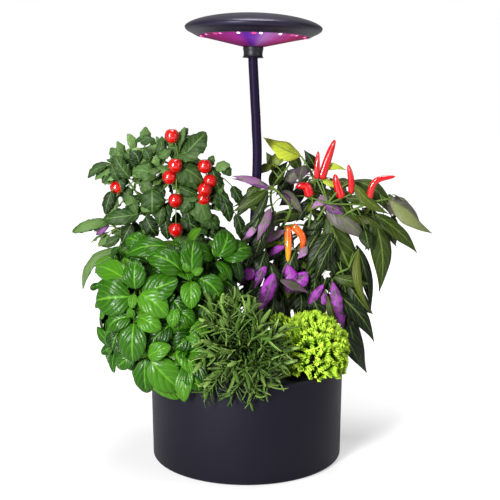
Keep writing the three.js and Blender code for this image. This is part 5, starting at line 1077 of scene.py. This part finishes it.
def glowing_cone():
    """The diffuser, lit from inside: magenta at the sides, violet in front, with a bloom round each LED."""
    n, place = new_material("glowing_cone")
    x, y, _ = n.split(place)
    angle = n.times(n.math("ARCTAN2", x, n.times(y, -1.0)), 180 / math.pi)
    radius = n.math("SQRT", n.plus(n.times(x, x), n.times(y, y)))
    tone = n.ramp(n.span(angle, -180.0, 180.0), [(share, rgb(*color)) for share, color in CONE_TONES])
    deep = n.span(radius, 11 * MM, 34 * MM, 0.35)
    rim = n.span(radius, 53.5 * MM, 55.5 * MM, 1.0, 0.35)
    level = n.times(n.times(deep, rim), n.scaled(n.noise(70, 2.0, place), 0.5, 0.75))
    bloom = 0.0
    for first in LED_ANGLES.values():
        turn = n.math("WRAP", n.math("SUBTRACT", angle, first), LED_TURN / 2, -LED_TURN / 2)
        off = n.times(turn, math.radians(1) * LED_REACH / BLOOM)
        out = n.math("DIVIDE", n.math("SUBTRACT", radius, LED_REACH), BLOOM)
        square = n.plus(n.times(off, off), n.times(out, out))
        bloom = n.plus(bloom, n.math("EXPONENT", n.times(square, -1.0)))
    lit = n.mix(n.math("MINIMUM", bloom, 1.0), tone, rgb(250, 120, 190))
    strength = n.scaled(bloom, 0.5, n.times(level, 0.75))
    return n.set(
        Base_Color=rgb(34, 6, 30), Emission_Color=lit, Emission_Strength=strength, Roughness=0.4,
        Specular_IOR_Level=0.1, IOR=1.1,
    )


def led_bead(name, angle, material, half):
    """A small square light with rounded corners, set on the cone's slope."""
    drop = -LIP_DROP - CONE_DROP * (CONE_RIM - LED_REACH) / (CONE_RIM - CONE_INNER)
    deep, corner = 0.6 * MM, 0.5 * half
    corners = [
        (a * (half - corner) + corner * math.cos(t), b * (half - corner) + corner * math.sin(t))
        for (a, b), start in zip(((1, 1), (-1, 1), (-1, -1), (1, -1)), (0, 90, 180, 270))
        for t in np.radians([start, start + 45, start + 90])
    ]
    rings = [(1.0, 0.4 * MM), (1.0, -0.5 * deep), (0.7, -deep)]
    verts = [(x * size, y * size, z) for size, z in rings for x, y in corners]
    faces = [turned(face) for face in ring_faces(len(rings), len(corners))]
    slope = math.atan2(CONE_DROP, CONE_RIM - CONE_INNER)
    spot = Matrix.Rotation(angle, 4, "Z") @ Matrix.Translation((LED_REACH, 0, drop))
    obj = make_object(name, verts, faces, material, None, smooth=False)
    on_lamp(obj, LAMP @ spot @ Matrix.Rotation(-slope, 4, "Y"))


def led_beads():
    """LEDs that shine through the cone: eight pairs of a red and a white one, and eight single white ones."""
    glows = {
        "front_red": glow("led_front_red", rgb(255, 40, 70), 3.0),
        "front_white": glow("led_front_white", rgb(255, 236, 250), 4.0),
        "red": glow("led_red", rgb(206, 40, 80), 0.8),
        "white": glow("led_white", rgb(226, 130, 190), 0.7),
    }
    for k in range(round(360 / LED_TURN)):
        for kind, first in LED_ANGLES.items():
            angle = (first + LED_TURN * k + 180) % 360 - 180
            front = FRONT_LEDS[0] < angle < FRONT_LEDS[1]
            color = ("front_" if front else "") + ("red" if kind == "red" else "white")
            half = 1.3 * MM if front else 0.9 * MM
            led_bead("led_%s_%d" % (kind, k), math.radians(angle - 90), glows[color], half)


def lamp():
    lamp_lathe("lamp_cover", cover_profile(), lamp_plastic, "lamp_top_cover")
    lamp_lathe("lamp_cone", cone_profile(), glowing_cone(), "lamp_diffuser")
    lamp_lathe("lamp_collar_trim", collar_profile(), trim_plastic, "lamp_collar", sides=80)
    led_beads()


# Plants
UP = vec(0, 0, 1)
FRONT = vec(0, -0.8, 0.6)
SHOOT_SIDE = vec(-0.3, 0.5, 0.8)
EVERYWHERE = room((-FAR,) * 3, (FAR,) * 3)


def spiral(count, top, drop, start=0.0, turn=0.0):
    """Directions spread over a dome by the golden angle, from its top down."""
    for k in range(count):
        rise = top - drop * (k + start) / count
        flat = math.sqrt(1 - rise * rise)
        angle = GOLDEN_TURN * k + turn
        yield vec(flat * math.cos(angle), flat * math.sin(angle), rise)


class Plant:
    """One pod's plant as it grows: its leaves, its stems and its own seeded draws."""

    def __init__(self, name, seed, shape, paint=None, keep_out=None):
        self.name, self.shape, self.at = name, shape, planter(name)
        self.rng = np.random.default_rng(seed)
        self.paint = lambda: paint(self.rng)
        self.leaves, self.stalks = Sheaf(keep_out), Sheaf()

    def stems(self, table, thick, thin):
        """Tapering stems, the first one thicker. Stalks start from their points."""
        lines = [[self.at(p) for p in row] for row in table]
        for i, line in enumerate(lines):
            foot = thick if i == 0 else 0.62 * thick
            tube(self.stalks, line, [foot, thin], sides=10, steps=8, chance=0.4)
        self.nodes = np.concatenate([smooth_line(line, 6) for line in lines])

    def leaf(self, base, tip, width, facing, paint, sway=0.0, shade=None):
        leaf(self.leaves, self.shape, base, tip, width, facing, self.rng, paint, sway, shade)

    def stalk(self, base, size=0.7 * MM, nodes=None):
        """A stalk to a leaf's base from the nearest stem."""
        nodes = self.nodes if nodes is None else nodes
        start = nodes[np.argmin(np.linalg.norm(nodes - base, axis=1))]
        bow = (start + base) / 2 + 0.12 * np.linalg.norm(start - base) * UP
        tube(self.stalks, [start, bow, base], [1.15 * size, 0.8 * size], steps=4)

    def placed(self, table, paint):
        """The leaves of a table, as the solids have them."""
        for row, values in enumerate(np.array(table)):
            base, tip, (width, sway) = self.at(values[:3]), self.at(values[3:6]), values[6:]
            self.leaf(base, tip, width * SPREAD, FRONT, paint(row), sway)
            self.stalk(base)

    def back(self, table):
        """The leaves round the back, as the solids have them."""
        for place, reach, width, count, start, end in table:
            for k in range(count):
                angle = math.radians(start + (end - start) * k / (count - 1))
                facing = vec(math.cos(angle), math.sin(angle), 1.0)
                outward = facing * reach * SPREAD
                base = self.at(place) + outward * 0.35
                self.leaf(base, self.at(place) + outward, width * SPREAD, facing, self.paint())
                self.stalk(base)

    def sprays(self, table, count, lowest, depth, lift, length, width, where):
        """Leaves along the stems, turned on one by one by the golden angle, as the solids have them."""
        for row, stem in enumerate(np.array(line) for line in table):
            step = 0
            for a, b in zip(stem, stem[1:]):
                for k in range(count):
                    base = a + (b - a) * (k + 1) / (count + 1)
                    step += 1
                    turn = GOLDEN_TURN * step + row
                    out = vec(math.cos(turn), depth * math.sin(turn), lift)
                    tip = base + out * length * (1 + ((step - 1) % 5 - 2) / 10)
                    if base[2] < lowest or not inside(tip, *where):
                        continue
                    start, end = self.at(base), self.at(tip)
                    facing = vec(0.3 * math.cos(turn), -0.5, 0.8)
                    self.leaf(start + 0.15 * (end - start), end, SPREAD * width, facing, self.paint())
                    tube(self.stalks, [start, start + 0.18 * (end - start)], [0.7 * MM, 0.5 * MM], steps=3)

    def front(self, crown, table, wide=1.0):
        """The leaves that the photograph shows, set on the crown's near side."""
        for x, y, tip_x, tip_y, width, layer, tone in table:
            purple, light, cream, shade = TONES[tone]
            swell = 0.9 + 0.06 * layer
            base, tip = crown.at((x, y), swell), crown.at((tip_x, tip_y), swell + 0.05)
            size = wide * width * np.linalg.norm(base - EYE) / FOCAL_PIXELS
            facing = crown.out((base + tip) / 2) + vec(0, -0.6, 0.5) + self.rng.normal(0, 0.15, 3)
            paint = (purple, light * self.rng.uniform(0.7, 1.2), cream)
            self.leaf(base, tip, size, facing, paint, self.rng.normal(0, 0.05), shade)
            self.stalk(base, 0.6 * MM)

    def fillers(self, count, lowest, within, length, ratio, droop):
        """Smaller leaves along the higher stems, turned out from their middle and drooping a little."""
        rng = self.rng
        low, high = room(*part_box(self.name + "_plant"))
        where = np.maximum(low, within[0]), np.minimum(high, within[1])
        nodes = self.nodes[self.nodes[:, 2] > DECK_TOP + lowest]
        centre = nodes.mean(axis=0)
        made = 0
        for _ in range(count * 6):
            if made == count:
                break
            start = nodes[rng.integers(len(nodes))]
            out = unit((start - centre) * (1, 1, 0.2))
            way = unit(out * 0.5 + rng.normal(0, 0.8, 3) + 0.1 * UP)
            reach = rng.uniform(*length)
            base = start + way * reach * rng.uniform(0.1, 0.9)
            tip = base + unit(way - droop * UP) * reach
            if not (inside(base, *where) and inside(tip, *where)):
                continue
            facing = unit(vec(0.3 * way[0], -0.45, 0.85) + rng.normal(0, 0.3, 3))
            self.leaf(base, tip, reach * rng.uniform(*ratio), facing, self.paint(), rng.normal(0, 0.06))
            self.stalk(base, 0.45 * MM, nodes)
            made += 1

    def core(self, crown, count, length, width):
        """Leaves in the darkest tone under the crown's skin, as painted shade, so that nothing shows through
        it.
        """
        for out in spiral(count, 0.96, 1.5):
            place = crown.middle + 0.74 * crown.reach * out
            way = unit(np.cross(out, self.rng.normal(0, 1, 3)) - 0.5 * UP)
            self.leaf(place - way * length / 2, place + way * length / 2, width, out, (0, 0, 0), shade=0.0)

    def rosette(self, base, axis, lengths, level=0, where=EVERYWHERE):
        """Crossed pairs of leaves on one shoot, smaller towards its tip."""
        across = unit(np.cross(axis, SHOOT_SIDE + self.rng.normal(0, 0.1, 3)))
        pairs = across, np.cross(axis, across)
        for level, length in enumerate(lengths, level):
            foot = base + axis * 4 * MM * (level + 1)
            for sign in (1, -1):
                rise = 0.15 + 0.4 * level
                way = unit(sign * pairs[level % 2] + axis * rise + self.rng.normal(0, 0.12, 3))
                tip = foot + way * length * self.rng.uniform(0.85, 1.12)
                if inside(tip, *where):
                    self.leaf(foot, tip, length * self.rng.uniform(0.6, 0.72), axis, self.paint())

    def spoke(self, way, k, ahead):
        """The way out of the k-th needle round a twig, and the way it points, between out and ahead."""
        across = unit(np.cross(way, (0.2, 0.9, 0.4)))
        turn = GOLDEN_TURN * k + self.rng.normal(0, 0.2)
        out = math.cos(turn) * across + math.sin(turn) * np.cross(way, across)
        return out, unit(way * self.rng.uniform(0.6, ahead) + out)

    def build(self, skin):
        body, slot_name = "pod_" + self.name, self.name + "_green"
        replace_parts(self.leaves.build(self.name + "_leaves", skin, body, slot_name), self.name + "_plant")
        if self.stalks.verts:
            self.stalks.build(self.name + "_stems", STEM_SKIN, body, slot_name)


def tomato_plant():
    plant = Plant("tomato", 11, TOMATO_LEAF, lambda rng: (0.0, max(0.0, rng.normal(0.25, 0.3)), 0.0))
    plant.stems(TOMATO_STEM, 2.6 * MM, 0.9 * MM)
    plant.placed(TOMATO_LEAF_TABLE, lambda row: plant.paint())
    plant.back(TOMATO_BACK)
    where = room((-FAR, -0.28, 0.3), (0.21, FAR, FAR))
    plant.sprays(TOMATO_STEM, count=2, lowest=0.5, depth=0.7, lift=-0.2, length=0.3, width=0.17, where=where)
    plant.front(TOMATO_CROWN, TOMATO_PIXELS)
    within = room((-FAR, 0.04, DECK_TOP + 0.03), (-0.014, FAR, FAR))
    plant.fillers(count=200, lowest=0.075, within=within, length=(0.014, 0.024), ratio=(0.6, 0.8), droop=0.25)
    plant.build(TOMATO_SKIN)


def chili_plant():
    paint = lambda rng: (max(0.0, rng.normal(-0.3, 0.4)), max(0.0, rng.normal(0.05, 0.15)), 0.0)
    plant = Plant("chili", 23, CHILI_LEAF, paint, FLAP_SWING)

    def row_paint(row):
        drawn = min(0.15, max(0.0, plant.rng.normal(0.05, 0.12)))
        return CHILI_PURPLE.get(row, 0.0), CHILI_LIGHT.get(row, drawn), CHILI_CREAM.get(row, 0.0)

    plant.stems(CHILI_STEM, 2.6 * MM, 0.9 * MM)
    plant.placed(CHILI_LEAF_TABLE, row_paint)
    plant.back(CHILI_BACK)
    where = room((-0.17, -0.56, 0.36), (FAR, FAR, FAR))
    plant.sprays(CHILI_STEM, count=1, lowest=0.5, depth=0.6, lift=-0.5, length=0.42, width=0.15, where=where)
    plant.front(CHILI_TOP_CROWN, CHILI_TOP_PIXELS)
    plant.front(CHILI_LOW_CROWN, CHILI_LOW_PIXELS)
    plant.front(CHILI_NECK_CROWN, CHILI_NECK_PIXELS)
    within = room((0.018, 0.034, DECK_TOP + 0.036), (FAR, FAR, DECK_TOP + 0.19))
    plant.fillers(count=120, lowest=0.06, within=within, length=(0.024, 0.045), ratio=(0.34, 0.44), droop=0.6)
    plant.build(CHILI_SKIN)


def basil_plant():
    paint = lambda rng: (0.0, min(0.3, max(0.0, rng.normal(0.08, 0.2))), 0.0)
    plant = Plant("basil", 5, BASIL_LEAF, paint, ROSEMARY_LIFT)
    plant.stems(BASIL_STEM, 2.4 * MM, 1.1 * MM)
    for place, rows in BASIL_ROSETTE:
        base = plant.at(place)
        facing = 0.5 * unit(base * (1, 1, 0)) + vec(0, -0.4, 0.8)
        for x, y, z, width in rows:
            way = SPREAD * vec(x, y, z)
            plant.leaf(base + 0.08 * way, base + way, width * SPREAD, facing, plant.paint())
        if place[0] > 0 or place[2] < 1.1:  # two high ones stay open, so that the lowest tomato shows
            plant.rosette(base, unit(facing), (0.024, 0.016))
        plant.stalk(base, 1.0 * MM)
    low, high = room(*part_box("basil_plant"))
    for base, axis, tips in dome_shoots(plant.at):
        for tip in tips:
            plant.leaf(base + 0.06 * (tip - base), tip, 0.26 * SPREAD, axis, plant.paint())
        plant.rosette(base, axis, (0.03, 0.018, 0.01), 1, (low + 2 * MM, high - 2 * MM))
        plant.stalk(base, 0.9 * MM)
    plant.front(BASIL_CROWN, BASIL_PIXELS, wide=1.16)
    plant.core(BASIL_CROWN, count=60, length=0.036, width=0.028)
    plant.build(BASIL_SKIN)
    return plant.stalks


def dome_shoots(at):
    """Shoots that stand out of the basil's dome: their place, their way and the tips of their first pair."""
    middle, reach = vec(-0.23, -0.195, 0.52), vec(0.45, 0.35, 0.58)
    for out in spiral(18, 0.95, 1.35, turn=0.475):
        share = middle + reach * out
        if share[0] > 0.37 or share[1] > 0.22:
            continue
        axis = unit(out + vec(0, -0.3, 0.3))
        beside = unit(np.cross(axis, SHOOT_SIDE))
        base = at(share)
        yield base, axis, [base + SPREAD * 0.4 * unit(side * beside + 0.15 * axis) for side in (1, -1)]


def lifted(stalks):
    """The places that stems take when their pod is lifted out."""
    points = np.concatenate(stalks.verts) + POD_LIFT * UP
    tree = KDTree(len(points))
    for i, point in enumerate(points):
        tree.insert(point, i)
    tree.balance()
    return tree


def rosemary_plant(keep_out):
    plant = Plant("rosemary", 31, NEEDLE, keep_out=keep_out)
    rng = plant.rng
    twigs = [[plant.at(p) for p in row] for row in ROSEMARY_STEM]
    between = [
        [(p + q) / 2 + rng.normal(0, 2 * MM, 3) * (i > 0) for i, (p, q) in enumerate(zip(a, b))]
        for a, b in zip(twigs, twigs[1:]) if len(a) == len(b)
    ]
    where = room(*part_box("rosemary_plant"))
    for points in twigs + between:
        tube(plant.stalks, points, [1.2 * MM, 0.5 * MM], chance=0.2)
        line = smooth_line(points, 30)
        last = len(line) - 1
        count = int(np.linalg.norm(np.diff(line, axis=0), axis=1).sum() / (2 * MM))
        for k in range(count):
            share = 0.22 + 0.78 * k / count
            i = min(int(share * last), last)
            way = unit(line[min(i + 1, last)] - line[max(i - 1, 0)])
            out, ahead = plant.spoke(way, k, 1.1)
            tip = line[i] + ahead * rng.uniform(17 * MM, 27 * MM) * (1 - 0.4 * share)
            if not inside(tip, *where) or in_pot(tip, 1 * MM, 1 * MM):
                continue
            paint = (0.0, max(0.0, rng.normal(-0.05, 0.2)) + 0.1 * share, 0.0)
            # the needles inside the bush stay dark, as painted shade
            shade = 0.35 * rng.random()
            plant.leaf(line[i], tip, rng.uniform(2.0, 3.0) * MM, unit(out + way), paint, shade=shade)
    front_sprigs(plant)
    plant.build(ROSEMARY_SKIN)


def front_sprigs(plant):
    """Sprigs on the rosemary's near side, with longer needles set all round them."""
    rng = plant.rng
    for x, y, tip_x, tip_y, length in ROSEMARY_PIXELS:
        foot, top = ROSEMARY_CROWN.at((x, y), 0.92), ROSEMARY_CROWN.at((tip_x, tip_y), 1.06)
        reach, way = np.linalg.norm(top - foot), unit(top - foot)
        points = [foot, (foot + top) / 2 + 0.1 * reach * vec(0, -0.4, 0.6), top]
        line = smooth_line(points, 12)
        tube(plant.stalks, points, [0.9 * MM, 0.5 * MM], chance=0.6)
        count = int(reach / (2.1 * MM))
        for k in range(count):
            spot = line[int((0.15 + 0.85 * k / count) * (len(line) - 1))]
            out, ahead = plant.spoke(way, k, 1.3)
            tip = spot + ahead * length * MM * rng.uniform(0.85, 1.2)
            if in_pot(tip, 1 * MM, 2 * MM):
                continue
            paint = (0.0, max(0.0, rng.normal(0.15, 0.25)) + 0.3 * k / count, 0.0)
            plant.leaf(spot, tip, rng.uniform(3.2, 4.8) * MM, unit(out + way), paint)


def lettuce_plant():
    """Frilled leaf edges crowd the whole of a dome, so only their rims show."""
    paint = lambda rng: (0.0, min(0.6, max(0.0, rng.normal(0.1, 0.2))), 0.0)
    plant = Plant("lettuce", 47, LETTUCE_LEAF, paint)
    lettuce_dome(plant, vec(0.0664, -0.0423, DECK_TOP + 0.0209), vec(0.0371, 0.0374, 0.0432), 170)
    lettuce_dome(plant, vec(0.0333, -0.0243, 0.147), vec(0.0101, 0.0079, 0.0086), 24)
    plant.build(LETTUCE_SKIN)


def lettuce_dome(plant, head, reach, count):
    rng = plant.rng
    size = reach[0] ** 0.5 * 0.09
    for out in spiral(count, 1, 1.45, start=0.5):
        tip = head + reach * out * rng.uniform(0.93, 1.0)
        base = head + reach * out * 0.5 - 4 * MM * UP
        if in_pot(tip, 2 * MM, 2 * MM):
            tip[2] = RIM + 3 * MM
            base[2] = max(base[2], RIM + 2 * MM)
        facing = np.cross(out, rng.normal(0, 1, 3))
        paint = plant.paint()
        plant.leaf(base, tip, size * rng.uniform(0.8, 1.15), facing, paint)


# Fruit and flower
TOMATO_REACH = 7.7 * MM
TOMATO_HEIGHT = 7.9 * MM
TOMATO_TOP = 6.6 * MM
TOMATO_BOTTOM = 7.85 * MM
PETALS = 5


def petals(axis, side, first):
    """The ways of five leaflets round an axis, counted from the way square to it and to a side."""
    across = unit(np.cross(axis, side))
    beside = np.cross(axis, across)
    for k in range(PETALS):
        turn = 2 * math.pi * k / PETALS + first
        yield math.cos(turn) * across + math.sin(turn) * beside


def calyx(sheaf, place, axis, reach):
    rng = np.random.default_rng(3)
    for out in petals(axis, (0.1, 1.0, 0.2), 0.4):
        leaf(sheaf, SEPAL, place, place + out * reach * 0.85 - axis * 0.18 * reach, 2.2 * MM, axis, rng)


def tomato_fruit():
    at = planter("tomato")
    for name, truss in TOMATO_TRUSS.items():
        stem = [at(p) for p in truss["stalk"]]
        centres = [at(p) for p in truss["fruit"]]
        obj = fruit_mesh(name, centres, TOMATO_RED)
        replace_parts(obj, name)
        line = smooth_line(stem, 8)
        green = Sheaf()
        tube(green, stem, [0.8 * MM, 0.6 * MM], sides=8, steps=8)
        for centre in centres:
            start = line[np.argmin(np.linalg.norm(line - centre, axis=1))]
            top = centre + TOMATO_TOP * UP
            tube(green, [start, (start + top) / 2 + 2 * MM * UP, top], [0.7 * MM, 0.6 * MM])
            calyx(green, top + 0.2 * MM * UP, UP, 6.5 * MM)
        green.build(name + "_stalks", STEM_SKIN, "pod_tomato", "tomato_green")


def fruit_mesh(name, centres, material):
    """Round tomatoes, a little wider than high, with shallow lobes and a dimple at the stalk."""
    sides, rows = 40, 24
    lobe, dimple, dimple_width = 0.018, 0.16, 0.38
    verts, faces = [], []
    for centre in centres:
        first = len(verts)
        verts.append(centre + TOMATO_TOP * UP)
        for tilt in (math.pi * i / rows for i in range(1, rows)):
            height = TOMATO_HEIGHT * math.cos(tilt) * (1 - dimple * math.exp(-((tilt / dimple_width) ** 2)))
            for turn in (2 * math.pi * k / sides for k in range(sides)):
                reach = TOMATO_REACH * math.sin(tilt) * (1 + lobe * math.sin(5 * turn) * math.sin(tilt))
                verts.append(centre + vec(reach * math.cos(turn), reach * math.sin(turn), height))
        verts.append(centre - TOMATO_BOTTOM * UP)
        faces += [turned(face) for face in ring_faces(rows - 1, sides, first + 1, ends=False)]
        last = len(verts) - 1
        for k in range(sides):
            j = (k + 1) % sides
            faces += [(first, first + 1 + k, first + 1 + j), (last - sides + k, last, last - sides + j)]
    return make_object(name + "_fruit", verts, faces, material, "pod_tomato")


def pepper_fruit():
    at = planter("chili")
    for name, bunch in PEPPER.items():
        material, slot_name = (PEPPER_RED, "ripe_red") if "red" in name else (PEPPER_ORANGE, "ripe_orange")
        verts, faces = [], []
        green = Sheaf()
        crown = at(bunch["crown"])
        for *points, share in bunch["fruit"]:
            radius = share * SPREAD
            line = smooth_line([at(p) for p in points], 12)
            pepper(verts, faces, line, radius)
            way = unit(line[0] - line[3])
            shoulder = line[0] + way * 0.6 * MM
            tube(green, [crown, (crown + shoulder) / 2, shoulder], [0.7 * MM, 1.0 * MM])
            calyx(green, shoulder + way * 0.3 * MM, way, 0.9 * radius + 1.2 * MM)
        obj = make_object(name + "_pods", verts, faces, material, "pod_chili")
        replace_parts(obj, name)
        green.build(name + "_stalks", STEM_SKIN, "pod_chili", "chili_green")


def pepper(verts, faces, line, radius, sides=24):
    """A bent pod, full behind its stalk end and pointed at its tip."""
    first = len(verts)
    shares = np.linspace(0, 1, len(line))
    sizes = 1.1 * radius * np.minimum(1, (shares / 0.08 + 0.25) ** 0.5) * (1 - shares**3) ** 0.5
    turns = np.linspace(0, 2 * math.pi, sides, endpoint=False)[:, None]
    sections = crossways(line, np.gradient(line, axis=0), vec(0, 1, 0))
    for section, share, size in zip(sections, shares, sizes):
        lobes = 1 + 0.05 * np.sin(3 * turns + 4 * share)
        verts.extend(around(*section, max(size, 0.1 * MM) * lobes, sides))
    faces.extend(ring_faces(len(line), sides, first))


def flower():
    """The chili's one open flower, among its lower leaves."""
    rng = np.random.default_rng(8)
    sheaf = Sheaf()
    heart = CHILI_LOW_CROWN.at(FLOWER_PIXEL, 1.12)
    axis = unit(vec(0.2, -0.9, -0.1))
    for out in petals(axis, UP, 0.0):
        leaf(sheaf, SEPAL, heart, heart + 5.5 * MM * unit(out + 0.4 * axis), 4.2 * MM, axis, rng)
    sheaf.build("chili_flower", PETAL_SKIN, "pod_chili", "board_white")


# The other solids keep their shapes, with softened edges and their own finish
NODE_MATERIALS = {  # by how the node's name starts
    "pot_shell": pot_plastic, "base_pad": pad_rubber, "planting_deck": deck_plastic,
    "fill_flap": deck_plastic, "cup_cap": deck_plastic, "net_cup": trim_plastic,
    "grow_sponge": sponge_foam, "flap_pin": steel,
    "water_float": float_foam, "control_housing": trim_plastic, "control_board": board_coat,
    "dc_jack": trim_plastic, "timer_button": white_plastic, "indicator_lens": lens_glow,
    "pump_shaft": steel, "pump_impeller": white_plastic, "pump_": trim_plastic, "neck_socket": trim_plastic,
    "neck_nut": trim_plastic, "neck_lower": sleeve_rubber, "lamp_collar": trim_plastic,
    "lamp_hub": trim_plastic, "lamp_top_cover": lamp_plastic, "led_board": white_plastic,
    "heat_spreader": aluminium,
}


def dress_solids():
    for node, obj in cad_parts.items():
        material = next((m for start, m in NODE_MATERIALS.items() if node.startswith(start)), None)
        if material is None:
            continue
        obj.data.materials.clear()
        obj.data.materials.append(material)
        bevel = obj.modifiers.new("edge", "BEVEL")
        bevel.width = 0.3 * MM
        bevel.segments = 2
        bevel.limit_method = "ANGLE"
        bevel.angle_limit = math.radians(40)


# Studio: a white background that lights little and shows faintly in gloss, a pale floor and four soft lamps
MIRRORED = 0.3
SURROUND_LIGHT = 0.1
LIGHTS = {  # place, aim, size and power in watts
    "key": ((-0.55, -1.1, 0.9), (0, 0, 0.18), 0.3, 12.0),
    "low_key": ((-0.6, -1.05, 0.36), (0, 0, 0.1), 0.2, 18.0),
    "fill": ((1.1, -0.7, 0.6), (0, 0, 0.2), 0.6, 4.0),
    "top": ((0.05, 0.0, 1.4), (0, 0, 0.2), 0.5, 13.0),
}


def background():
    n = Nodes(bpy.data.worlds.new("studio"))
    bpy.context.scene.world = n.owner
    n.tree.nodes.clear()
    rays = n.put("ShaderNodeLightPath").outputs
    faint = n.scaled(rays["Is Glossy Ray"], MIRRORED, rays["Is Transmission Ray"])
    seen = n.math("MAXIMUM", rays["Is Camera Ray"], faint)
    soft = n.put("ShaderNodeBackground", {0: WHITE, 1: SURROUND_LIGHT}).outputs[0]
    white = n.put("ShaderNodeBackground", {0: WHITE, 1: 1.0}).outputs[0]
    mixed = n.put("ShaderNodeMixShader", {0: seen, 1: soft, 2: white}).outputs[0]
    n.put("ShaderNodeOutputWorld", {0: mixed})


def floor():
    n, place = new_material("floor")
    rays = n.put("ShaderNodeLightPath").outputs
    straight = n.math("MAXIMUM", rays["Is Camera Ray"], rays["Is Transmission Ray"])
    away = n.put("ShaderNodeVectorMath", {0: place}, operation="LENGTH").outputs["Value"]
    lift = n.times(n.scaled(rays["Is Glossy Ray"], MIRRORED, straight), n.span(away, 0.12, 0.7, 0.5))
    material = n.set(
        Base_Color=(0.5, 0.5, 0.5, 1), Roughness=0.9, Emission_Color=WHITE, Emission_Strength=lift,
    )
    half = 6.0
    corners = [(-half, -half, 0), (half, -half, 0), (half, half, 0), (-half, half, 0)]
    make_object("floor", corners, [(0, 1, 2, 3)], material, None, smooth=False)


def lights():
    for name, (place, aim, size, power) in LIGHTS.items():
        data = bpy.data.lights.new(name, "AREA")
        data.size = size
        data.energy = power
        light = bpy.data.objects.new(name, data)
        light.location = place
        light.rotation_euler = (Vector(aim) - Vector(place)).to_track_quat("-Z", "Y").to_euler()
        bpy.context.scene.collection.objects.link(light)


pot_wall()
neck()
lamp()
tomato_plant()
chili_plant()
rosemary_plant(lifted(basil_plant()))
lettuce_plant()
tomato_fruit()
pepper_fruit()
flower()
dress_solids()
background()
floor()
lights()
bpy.context.scene.view_settings.view_transform = "Standard"
